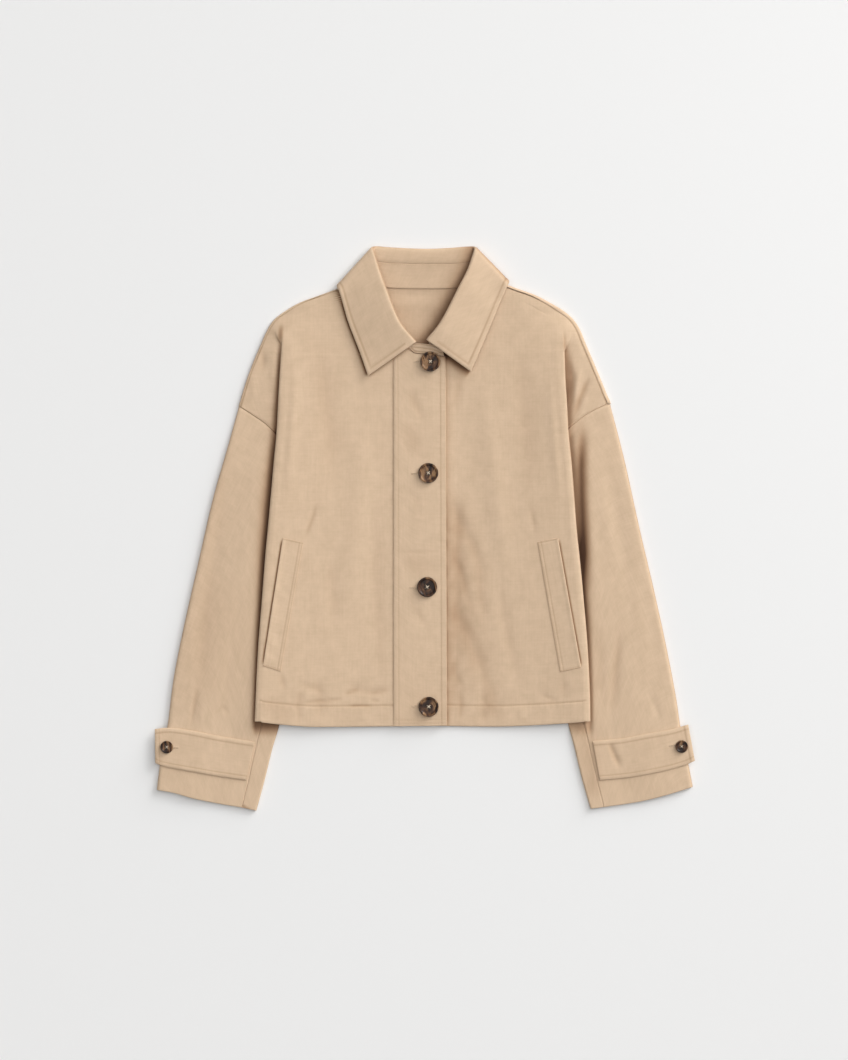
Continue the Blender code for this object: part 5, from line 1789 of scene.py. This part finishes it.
@dataclass(frozen=True)
class Collar:
    """A turned-down collar on a stand, whose buttoned end shows between the leaf's two points.

    Attributes:
        left: stations of the left side.
        right: stations of the right side.
        back_roll: plan points of the crease across the back.
        back_edge: plan points of the free edge across the back.
        back_neck: plan points of the neck seam across the back.
        tab_top: upper edge of the stand's end past the left leaf.
        tab_neck: neck edge of that end.
        turns: degrees of the leaf's right side at a corner's stations, from up to down.
        roll_deep: how far below the crease the leaf's roll reaches where the stand gives it room.
        crown: how far the leaf stands up beside its crease.
        corner_top_z: height of the leaf's upper layer at the corners.
        stand_seam_y: y where leaf and stand meet behind the neck.
        stand_neck_z: lowest height of the stand's neck seam, which it has at the corners' last stations.
        stitch_inset: distance of the topstitches from the leaf's border.
    """

    left: CollarHalf
    right: CollarHalf
    back_roll: Rows = ((-54, 380.2), (-28, 378.6), (2.8, 377.6), (34, 378.8), (53, 380.4))
    back_edge: Rows = ((-95, 317), (-50, 308), (2.8, 306), (50, 310), (90, 321))
    back_neck: Rows = ((-68, 328.5), (-36, 324.8), (0, 324.2), (34, 324.8), (64, 329.5))
    tab_top: Rows = ((24, 243.2, 10.6), (8, 249.0, 11.0), (-6, 250.0, 11.6))
    tab_neck: Rows = ((26, 233.2, 9.6), (6, 236.0, 9.6), (-13, 237.6, 9.8))
    turns: Sequence[float] = (90, 50, 0, -50, -90)
    roll_deep: float = 7.4
    crown: float = 0.8
    corner_top_z: float = 13.4
    stand_seam_y: float = 357.5
    stand_neck_z: float = 4.3
    stitch_inset: float = 7.2

    def front_stations(self, half: CollarHalf) -> list[Station]:
        """Stations of a leaf's front part, which lies face up."""
        columns = zip(half.roll, half.edge, half.neck, half.seam_in, half.seam_down)
        return [Station(np.array(roll, dtype=float), np.array(edge, dtype=float), np.array(neck, dtype=float),
                        np.array((0.0, 0.0, 1.0)), seam_in, seam_down, min(self.roll_deep, seam_down + 0.5))
                for roll, edge, neck, seam_in, seam_down in columns]

    def corner_stations(self, half: CollarHalf) -> list[Station]:
        """Stations round a corner, where the leaf's face turns from up through outward to down."""
        roll, edge = np.array(half.corner_roll), np.array(half.corner_edge)
        run = unit(edge - roll)
        outward_side = np.array((-run[1], run[0])) * math.copysign(1, run[0])
        radius = (self.corner_top_z - TABLE_Z) / 2
        stations = []
        for turn in np.radians(self.turns):
            normal = np.array((*(outward_side * math.cos(turn)), math.sin(turn)))
            over, under = ease(turn / 1.57), ease(-turn / 1.57)
            slid = (roll - run * 5.0 * under + np.array((4.5 * outward_side[0], -1.4)) * over,
                    edge + run * 3.3 * over)
            middles = (np.array((*(point - outward_side * (radius + CLOTH / 2)), TABLE_Z + radius))
                       for point in slid)
            places = [middle + normal * radius for middle in middles]
            neck_z = self.stand_neck_z + 2.8 + 2.8 * math.sin(turn)
            neck = np.array((*(np.array(half.corner_neck) + outward_side * 1.5 * math.cos(turn)), neck_z))
            stations.append(Station(*places, neck, normal, 20.0, min(radius - CLOTH / 2, 5.6), 7.0))
        return stations

    def stations(self) -> list[Station]:
        """All stations from the left leaf's front end round the back to the right leaf's."""
        back = [Station(np.array((*roll, TABLE_Z)), np.array((*edge, TABLE_Z)),
                        np.array((*neck, self.stand_neck_z + 1.1)), np.array((0.0, 0.0, -1.0)),
                        roll[1] - self.stand_seam_y, 6.2, self.roll_deep)
                for roll, edge, neck in zip(self.back_roll, self.back_edge, self.back_neck)]
        left = self.front_stations(self.left) + self.corner_stations(self.left)
        right = self.front_stations(self.right) + self.corner_stations(self.right)
        return left + back + right[::-1]

    @staticmethod
    def filled(sections: Array, step: float) -> Array:
        """Sections between the given ones, by the monotone cubic over the mean distance that they move."""
        moved = np.linalg.norm(np.diff(sections, axis=0), axis=-1).mean(axis=1)
        run = np.concatenate([[0], np.cumsum(moved)])
        return smooth(graded(run, lambda at: step), run, sections)

    def painted_shadow_below(self, grid: ClothGrid) -> Array:
        """Painted shadow on the cloth right beside the leaf's edges that face away from the light."""
        left, right = ([point[:2] for point in half.edge] for half in (self.left, self.right))
        edges = (Crease((*left, self.left.corner_edge), 3.0, 0.0, fade=0.04, shade=1.0),
                 Crease((self.left.roll[0][:2], left[0]), 2.0, 0.0, fade=0.04, shade=0.3),
                 Crease((self.right.roll[0][:2], right[0]), 7.5, 0.0, fade=0.04, shade=0.9))
        return shaded(grid.x, grid.y, edges)

    def painted_shade_inside(self, x: Array, y: Array) -> Array:
        """Painted shade inside the neck: faint all over, deep under the right side's crease."""
        path = [point[:2] for point in self.right.roll] + [self.right.corner_roll]
        edge = np.interp(y, [point[1] for point in path], [point[0] for point in path])
        away = np.maximum(edge - x, 0)
        return 0.06 + 0.72 * bell(away, 12, 1.3)

    def leaf(self) -> Sewn:
        """The leaf: from the stand's seam over the crease to its free edge, topstitched all round."""
        sections = []
        for station in self.stations():
            crown = station.normal * max(0.0, station.normal[2]) * self.crown
            beside = station.roll + station.run() * 9 + crown
            sections.append([station.seam(0.0), station.roll - station.normal * station.deep,
                             station.roll, beside, station.edge])
        corners = self.filled(np.array(sections), 2.3)
        grid = ClothGrid("cloth_collar_leaf", rounded(corners, (6, 12, 48)), (0.1, 0.6))
        free = grid.distance(Edge.END)
        ends = np.minimum(grid.distance(Edge.TOP), grid.distance(Edge.BOTTOM))
        outer = ease((free.max(axis=1, keepdims=True) - 22 - free) / 8)
        nearest = np.minimum(free, np.where(outer > 0.02, ends, 99))
        inset = self.stitch_inset
        grid.relief += 0.42 * grid.margin(nearest, inset) - 0.45 * bell(nearest - inset, 0.9)
        # painted shade in the stitch groove
        grid.shade += 0.3 * bell(nearest - inset, 1.1)
        # painted shade inside the neck, on the leaf's inner part
        inside = ease((14 - np.arange(grid.x.shape[1])) / 7)
        grid.shade += inside * self.painted_shade_inside(grid.x, grid.y)
        waves = np.sin(grid.y / 19 + grid.x / 33) + 0.5 * np.sin(grid.x / 11 - grid.y / 27)
        grid.relief += 0.25 * outer * waves
        lines = [grid.line(Edge.END, inset).cut(inset + 1, inset + 1),
                 *(grid.line(edge, inset).cut(22, inset + 1) for edge in (Edge.TOP, Edge.BOTTOM))]
        return grid, lines

    def stand(self) -> Sewn:
        """The stand: from the neck seam up to the leaf, with its end past the left leaf's front."""
        sections = [[top, (np.array(top) + np.array(neck)) / 2, neck]
                    for top, neck in zip(self.tab_top, self.tab_neck)]
        for station in self.stations():
            seam = station.seam(0.0)
            low = station.neck + (seam - station.neck) * np.array((0.75, 0.75, 0.2))
            sections.append([seam, low, station.neck])
        corners = self.filled(np.array(sections, dtype=float), 2.2)
        grid = ClothGrid("cloth_collar_stand", rounded(corners, (18,)), (0.02, 0.5))
        tab = ease((grid.y.max() - grid.y) / 5) * (grid.distance(Edge.TOP) < 46)
        upper, lower = grid.distance(Edge.START), grid.distance(Edge.END)
        # painted shade inside the neck, on the stand's wrong side
        grid.inner_shade += self.painted_shade_inside(grid.x, grid.y)
        # ridges and grooves of the stitching on the stand's end, with painted shade in the grooves
        for away, inset in ((upper, 1.6), (lower, 2.0), (upper, 6.6)):
            grid.relief += tab * (0.3 * bell(away - inset - 1.8, 1.3)
                                  - 0.42 * bell(away - inset, 0.8))
            grid.shade += tab * 0.3 * bell(away - inset, 0.9)
        lines = [grid.line(Edge.START, 1.6), grid.line(Edge.END, 2.0), grid.line(Edge.START, 6.6)]
        lines = [line.where(line.run() < 42) for line in lines]
        inside = grid.line(Edge.START, 1.5, right=False)
        return grid, [*lines, inside.where((inside.points[:, 1] > 340) & (np.abs(inside.points[:, 0]) < 62))]


COLLAR = Collar(
    left=CollarHalf(
        roll=((-11.3, 252.2, 18.2), (-33.6, 279.2, 20.4), (-52.5, 325.1, 19.6), (-62, 352, 17)),
        edge=((-76.8, 206.3, 12.6), (-87.3, 236.5, 12.6), (-104.6, 282, 13), (-111.6, 306.5, 12.6)),
        neck=((-22.1, 244.8, 10.3), (-52, 267, 10.2), (-76, 304, 10.4), (-84, 336, 10)),
        seam_in=(4, 12, 18, 20), seam_down=(6, 9, 10, 8),
        corner_roll=(-71.4, 382.0), corner_edge=(-119.2, 328.4), corner_neck=(-84, 346.5)),
    right=CollarHalf(
        roll=((1.9, 254.9, 20), (19.0, 275.8, 22), (45.2, 325.1, 21), (59, 353, 17.5)),
        edge=((62.2, 211.7, 14), (73, 237.5, 14), (92, 282.5, 14), (103, 309, 13)),
        neck=((7, 245.5, 6.3), (41, 267, 8.6), (70, 306, 10.4), (80, 339, 10)),
        seam_in=(3.5, 12, 18, 20), seam_down=(6.5, 9, 10, 8),
        corner_roll=(68.3, 382.0), corner_edge=(113.9, 334.6), corner_neck=(80, 348.5)),
)


# ---------------------------------------------------------------- buttons

@dataclass(frozen=True)
class Button:
    """A turned button with a raised rim, four holes and crossed thread.

    Attributes:
        name: its node.
        x: plan x of its middle.
        y: plan y of its middle.
        base_z: height of its underside.
        radius: outer radius.
        thick: thickness.
        rim: width of the raised rim.
        hole_ring: radius of the ring that the holes lie on.
        hole: radius of a hole.
        turn: turn of the holes and the streaks, in degrees.
    """

    name: str
    x: float
    y: float
    base_z: float
    radius: float = 13.5
    thick: float = 4.2
    rim: float = 2.6
    hole_ring: float = 3.0
    hole: float = 1.1
    turn: float = 45.0

    @property
    def floor(self) -> float:
        """Height of the dished middle over the underside."""
        return self.thick * 0.62

    def profile(self) -> Array:
        """Half section (distance from the axis, height), rounded at its corners, from the axis back to it."""
        radius, thick, inner = self.radius, self.thick, self.radius - self.rim
        corners = np.array(((0, self.floor), (inner - 2.4, thick * 0.6), (inner - 0.6, thick * 0.68),
                            (inner, thick * 0.95), (radius - self.rim * 0.5, thick * 1.02),
                            (radius, thick * 0.98), (radius + 0.02, thick * 0.42), (radius * 0.86, 0.0),
                            (0, 0.0)), dtype=float)
        return rounded(corners, (4, 5, 5, 4, 6, 6, 4))

    def disc(self, material: Material) -> Object:
        """The turned disc with its four holes cut through, their upper edges eased."""
        disc = lathe(self.name, self.profile(), 96, (0.0, 0.0), material)
        hole, floor, above = self.hole, self.floor, self.thick + 2
        cutter_profile = np.array(((0, -2), (hole, -2), (hole, floor - 0.5), (hole + 0.1, floor - 0.2),
                                   (hole + 0.5, floor + 0.2), (hole + 0.6, above), (0, above)))
        for quarter in range(4):
            angle = math.radians(self.turn + 90 * quarter)
            place = (self.hole_ring * math.cos(angle), self.hole_ring * math.sin(angle))
            cutter = lathe(f"{self.name}_hole", cutter_profile, 24, place, material)
            cut = disc.modifiers.new("hole", "BOOLEAN")
            cut.operation = "DIFFERENCE"
            cut.object = cutter
            baked = bpy.data.meshes.new_from_object(disc.evaluated_get(bpy.context.evaluated_depsgraph_get()))
            disc.modifiers.clear()
            disc.data = baked
            bpy.data.objects.remove(cutter)
        shape = bmesh.new()
        shape.from_mesh(disc.data)
        bmesh.ops.remove_doubles(shape, verts=shape.verts, dist=1e-7)
        bmesh.ops.translate(shape, verts=shape.verts, vec=Vector((self.x, self.y, self.base_z)) * MM)
        shape.to_mesh(disc.data)
        shape.free()
        disc.data.shade_smooth()
        disc.data.set_sharp_from_angle(angle=math.radians(38))
        return disc

    def thread(self, material: Material) -> Object:
        """Crossed thread: three strands over each diagonal, arcs that dip into the holes."""
        floor = self.base_z + self.floor
        size = self.hole_ring / 3.0
        points, faces, shift = [], [], 0
        for bar in range(2):
            angle = math.radians(self.turn + 90 * bar)
            forward = np.array((math.cos(angle), math.sin(angle)))
            side = np.array((-forward[1], forward[0]))
            for strand in (-1, 0, 1):
                t = np.linspace(-1, 1, 17)
                run = t * (self.hole_ring - 0.25 * size)
                arch = (0.55 + 0.35 * bar) * size * (1 - t ** 4)
                rise = arch - 1.9 * size * ease((np.abs(t) - 0.72) / 0.28)
                offset = strand * 0.5 * size * (1 - 0.35 * t ** 2)
                centre = np.concatenate([run[:, None] * forward + offset[:, None] * side + (self.x, self.y),
                                         (floor + rise - 0.12 * abs(strand))[:, None]], axis=1)
                ring = tube(centre, 0.3 * size, 7)
                points.append(ring.reshape(-1, 3))
                index = np.arange(math.prod(ring.shape[:2])).reshape(ring.shape[:2]) + shift
                caps = [index[0].tolist(), index[-1][::-1].tolist()]
                faces += grid_faces(index, around=True).tolist() + caps
                shift += index.size
        return outward(mesh_piece(f"thread_{self.name}", np.concatenate(points), faces, material))


def tube(centre: Array, radius: float, sides: int) -> Array:
    """Rings of a round tube square to a path: grid of shape (place, side, 3)."""
    forward = unit(np.gradient(centre, axis=0))
    side = unit(np.cross(forward, (0.0, 0.0, 1.0)))
    up = np.cross(side, forward)
    turn = np.arange(sides) / sides * 2 * math.pi
    return (centre[:, None] + np.cos(turn)[None, :, None] * side[:, None] * radius
            + np.sin(turn)[None, :, None] * up[:, None] * radius)


def lathe(name: str, profile: Array, sides: int, place: Point,
          material: Material) -> Object:
    """Turns a half section round the vertical at a plan place. Its first and last points lie on the axis."""
    turn = np.arange(sides) / sides * 2 * math.pi
    body = profile[1:-1]
    rings = np.stack([body[:, :1] * np.cos(turn), body[:, :1] * np.sin(turn),
                      np.repeat(body[:, 1:], sides, axis=1)], axis=-1)
    index = np.arange(len(body) * sides).reshape(len(body), sides)
    poles = np.array(((0, 0, profile[0, 1]), (0, 0, profile[-1, 1])))
    points = np.concatenate([rings.reshape(-1, 3), poles]) + (*place, 0.0)
    faces = grid_faces(index, around=True).tolist()
    for pole, ring in ((index.size, index[0]), (index.size + 1, index[-1])):
        faces += [[pole, int(a), int(b)] for a, b in zip(ring, np.roll(ring, -1))]
    return outward(mesh_piece(name, points, faces, material))


def coat_buttons() -> list[Button]:
    """Four front buttons and two cuff buttons, each where its node is."""
    made = []
    for number, (x, y) in enumerate(BUTTON_PLACES, start=1):
        reach = 13.5 * np.array((-0.8, 0, 0.8))
        under = float(LEFT_FRONT.height(-(x + reach), y).max()) + PLY + 0.2 + CLOTH / 2
        if number == 1:  # the top button rests on the stand's lower edge
            under = COLLAR.tab_neck[1][2] + CLOTH / 2 + SEAM_GAP
        turn = 45.0 + 9 * (number % 3 - 1)
        made.append(Button(f"button_front_{number}", x, y, under + SEAM_GAP, turn=turn))
    for strap in STRAPS:
        made.append(Button(f"button_cuff_{strap.sleeve.name}", *strap.button,
                           SLEEVE_Z + SLEEVE_PUFF + PLY + CLOTH / 2 + 2 * SEAM_GAP,
                           8.5, 3.2, 1.8, 2.1, 0.8, 40.0))
    return made


# ---------------------------------------------------------------- studio

@dataclass(frozen=True)
class Studio:
    """Pale floor, soft light from the upper right, and a camera straight overhead.

    Attributes:
        frame_long: what the photograph's long side spans on the coat, in metres.
        centre: what it is centred on.
        away: height of the camera over the coat.
        sky: strength of the even light.
        suns: name, strength, width in degrees and direction of each distant light: soft and low on the upper
            right, broad and half way up there, and broad overhead.
        side_power: power of the wide lamp on the upper right, whose light falls off across the coat.
        side_place: where that lamp stands.
        side_size: its width.
        floor_grey: how pale the floor is.
    """

    frame_long: float = 1.431
    centre: Point = (-0.0012, -0.0016)
    away: float = 6.0
    sky: float = 0.10
    suns: Sequence[tuple[str, float, float, tuple[float, float, float]]] = (
        ("key", 2.25, 30, (3.0, 2.9, 1.25)), ("half way", 0.8, 70, (2.0, 1.9, 2.8)),
        ("overhead", 1.2, 76, (-0.3, -0.1, 4.0)))
    side_power: float = 18.0
    side_place: tuple[float, float, float] = (2.1, 1.2, 2.0)
    side_size: float = 1.2
    floor_grey: float = 0.87

    def build(self) -> None:
        """Sets up the world, the lights, the floor and the camera."""
        scene = bpy.context.scene
        scene.view_settings.view_transform = "Standard"
        world = bpy.data.worlds.new("studio")
        world.use_nodes = True
        background = world.node_tree.nodes["Background"]
        background.inputs["Color"].default_value = (1.0, 0.99, 0.975, 1.0)
        background.inputs["Strength"].default_value = self.sky
        scene.world = world
        side = bpy.data.lights.new("side", "AREA")
        side.shape = "SQUARE"
        side.size = self.side_size
        side.energy = self.side_power
        lamps = [(side, self.side_place)]
        for name, strength, wide, place in self.suns:
            lamp = bpy.data.lights.new(name, "SUN")
            lamp.energy, lamp.angle = strength, math.radians(wide)
            lamps.append((lamp, place))
        for lamp, place in lamps:
            seat = bpy.data.objects.new(lamp.name, lamp)
            seat.location = place
            seat.rotation_euler = (-seat.location).to_track_quat("-Z", "Y").to_euler()
            scene.collection.objects.link(seat)
        self.floor()
        camera = bpy.data.cameras.new("camera")
        camera.sensor_width = 36.0
        camera.lens = 36.0 * self.away / self.frame_long
        camera.clip_end = 100.0
        seat = bpy.data.objects.new("camera", camera)
        seat.location = (*self.centre, self.away + 0.008)
        scene.collection.objects.link(seat)
        scene.camera = seat

    def floor(self) -> None:
        """A plain pale floor."""
        grey = self.floor_grey
        finish = Finish.named("floor", Roughness=0.95, Specular_IOR_Level=0.1,
                              Base_Color=(grey, grey * 0.997, grey * 0.99, 1.0))
        corners = np.array(((-1, -1, 0), (1, -1, 0), (1, 1, 0), (-1, 1, 0)), dtype=float) * 15000
        mesh_piece("floor", corners, [[0, 1, 2, 3]], finish.material)


# ---------------------------------------------------------------- the coat

@dataclass
class Coat:
    """Dresses the frame: makes each piece, lays it on the body and says what it stands for.

    Attributes:
        cloth: finish of the twill.
        thread: finish of the tonal stitching.
        pale_thread: finish of the thread that holds the buttons.
        horn: finish of the buttons.
        laid: how many cloth finishes have been made.
    """

    cloth: TwillCloth = TwillCloth()
    thread: ThreadFinish = ThreadFinish((0.53, 0.375, 0.235))
    pale_thread: ThreadFinish = ThreadFinish((0.62, 0.52, 0.40))
    horn: HornFinish = HornFinish()
    laid: int = 0

    def twill(self) -> Material:
        """A new cloth finish whose pattern starts somewhere else on the cloth."""
        self.laid += 1
        return self.cloth.material(f"twill_{self.laid}", (0.137 * self.laid, 0.211 * self.laid))

    def sheet(self, piece: Object, node_name: str,
              with_pieces: Sequence[Object] = ()) -> None:
        """Lays a cloth piece on the body in its node's place and hides that node.

        Args:
            piece: the cloth.
            node_name: the node that it stands for.
            with_pieces: stitches and buttonholes that go with it.
        """
        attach(piece, "root")
        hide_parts(node_name)
        for extra in with_pieces:
            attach(extra, "root")
        LOG.info("%s stands for %s: %d faces", piece.name, node_name, len(piece.data.polygons))

    def sewn(self, made: Sewn, node_name: str, rests_on: Sequence[str],
             holes: Sequence[Object] = ()) -> None:
        """Makes a stitched cloth piece and its stitches, and lays it as sheet says.

        Args:
            made: the cloth, and the paths of its stitches.
            node_name: the node that it stands for.
            rests_on: what it lies on; not used.
            holes: its worked buttonholes.
        """
        grid, lines = made
        piece = grid.piece(self.twill())
        stitches = Stitching().piece(f"stitches_{node_name}", lines, self.sewing)
        self.sheet(piece, node_name, [stitches, *holes])

    @property
    def sewing(self) -> Material:
        """The tonal thread's finish, made once."""
        return bpy.data.materials.get("tonal_thread") or self.thread.material("tonal_thread")

    @property
    def edging(self) -> Material:
        """The paler thread's finish, for the buttonholes, made once."""
        return (bpy.data.materials.get("buttonhole_thread")
                or ThreadFinish((0.66, 0.5, 0.345)).material("buttonhole_thread"))

    def body(self) -> None:
        """Back, fronts, placket and welts."""
        self.sheet(BackPanel().piece(self.twill()), "back_panel")
        sides = ((RIGHT_SLEEVE, (0.35, 0.61), 0.155, []), (LEFT_SLEEVE, (0.36, 0.61), 0.165, ["front_right"]))
        for sleeve, flat, area, also_on in sides:
            front = sleeve.front
            grid, lines = front.finished(sleeve.inner_fold_out)
            mouth_shades = [welt.mouth_shade() for welt in WELTS if welt.front is front]
            # painted shadow beside the collar's edges, and painted shade in the pockets' openings
            shade = COLLAR.painted_shadow_below(grid) + shaded(grid.x, grid.y, mouth_shades)
            grid.shade += (grid.normal[..., 2] > 0.5) * shade
            self.sewn((grid, lines), f"front_{front.name}",
                      ["back_panel", f"sleeve_{front.name}_upper", *also_on])
        grid, lines = Placket().finished()
        # painted shadow beside the collar's edges
        grid.shade += COLLAR.painted_shadow_below(grid)
        holes = buttonhole_piece("buttonholes_front", Placket.buttonholes(grid), self.edging)
        self.sewn((grid, lines), "placket", ["front_left"], [holes])
        for welt in WELTS:
            side = welt.front.name
            self.sewn(welt.finished(), f"welt_{side}", [f"front_{side}"])

    def arms(self) -> None:
        """Sleeves and cuff straps."""
        for sleeve in (LEFT_SLEEVE, RIGHT_SLEEVE):
            under, upper = f"sleeve_{sleeve.name}_under", f"sleeve_{sleeve.name}_upper"
            for grid, node_name, length, area, below in ((sleeve.under(), under, 0.53, 0.07, "floor"),
                                                         (sleeve.upper(), upper, 0.55, 0.073, under)):
                self.sheet(grid.piece(self.twill()), node_name)
        for strap in STRAPS:
            name = strap.sleeve.name
            grid, lines = strap.finished()
            hole = buttonhole_piece(f"buttonhole_cuff_{name}", [strap.buttonhole(grid)], self.edging)
            self.sewn((grid, lines), f"strap_{name}", [f"sleeve_{name}_upper"],
                      [hole])

    def neck(self) -> None:
        """Collar stand and leaf."""
        self.sewn(COLLAR.stand(), "collar_stand", ["front_left", "front_right"])
        self.sewn(COLLAR.leaf(), "collar_leaf", ["collar_stand", "front_left"])

    def fastenings(self) -> None:
        """Buttons and the thread through them."""
        thread = self.pale_thread.material("button_thread")
        for number, button in enumerate(coat_buttons()):
            disc = button.disc(self.horn.material(f"horn_{number}", 0.7 + 1.1 * number))
            disc.name = f"horn_{button.name}"
            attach(disc, "root")
            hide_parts(button.name)
            held = button.thread(thread)
            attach(held, "root")
            LOG.info("%s stands for %s: %d faces", disc.name, button.name, len(disc.data.polygons))


def main() -> None:
    """Builds the studio and the coat on the frame."""
    logging.basicConfig(level=logging.INFO, format="%(message)s", stream=sys.stdout)
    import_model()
    Studio().build()
    coat = Coat()
    coat.body()
    coat.arms()
    coat.neck()
    coat.fastenings()
    bpy.context.view_layer.update()


if __name__ == "__main__":
    main()
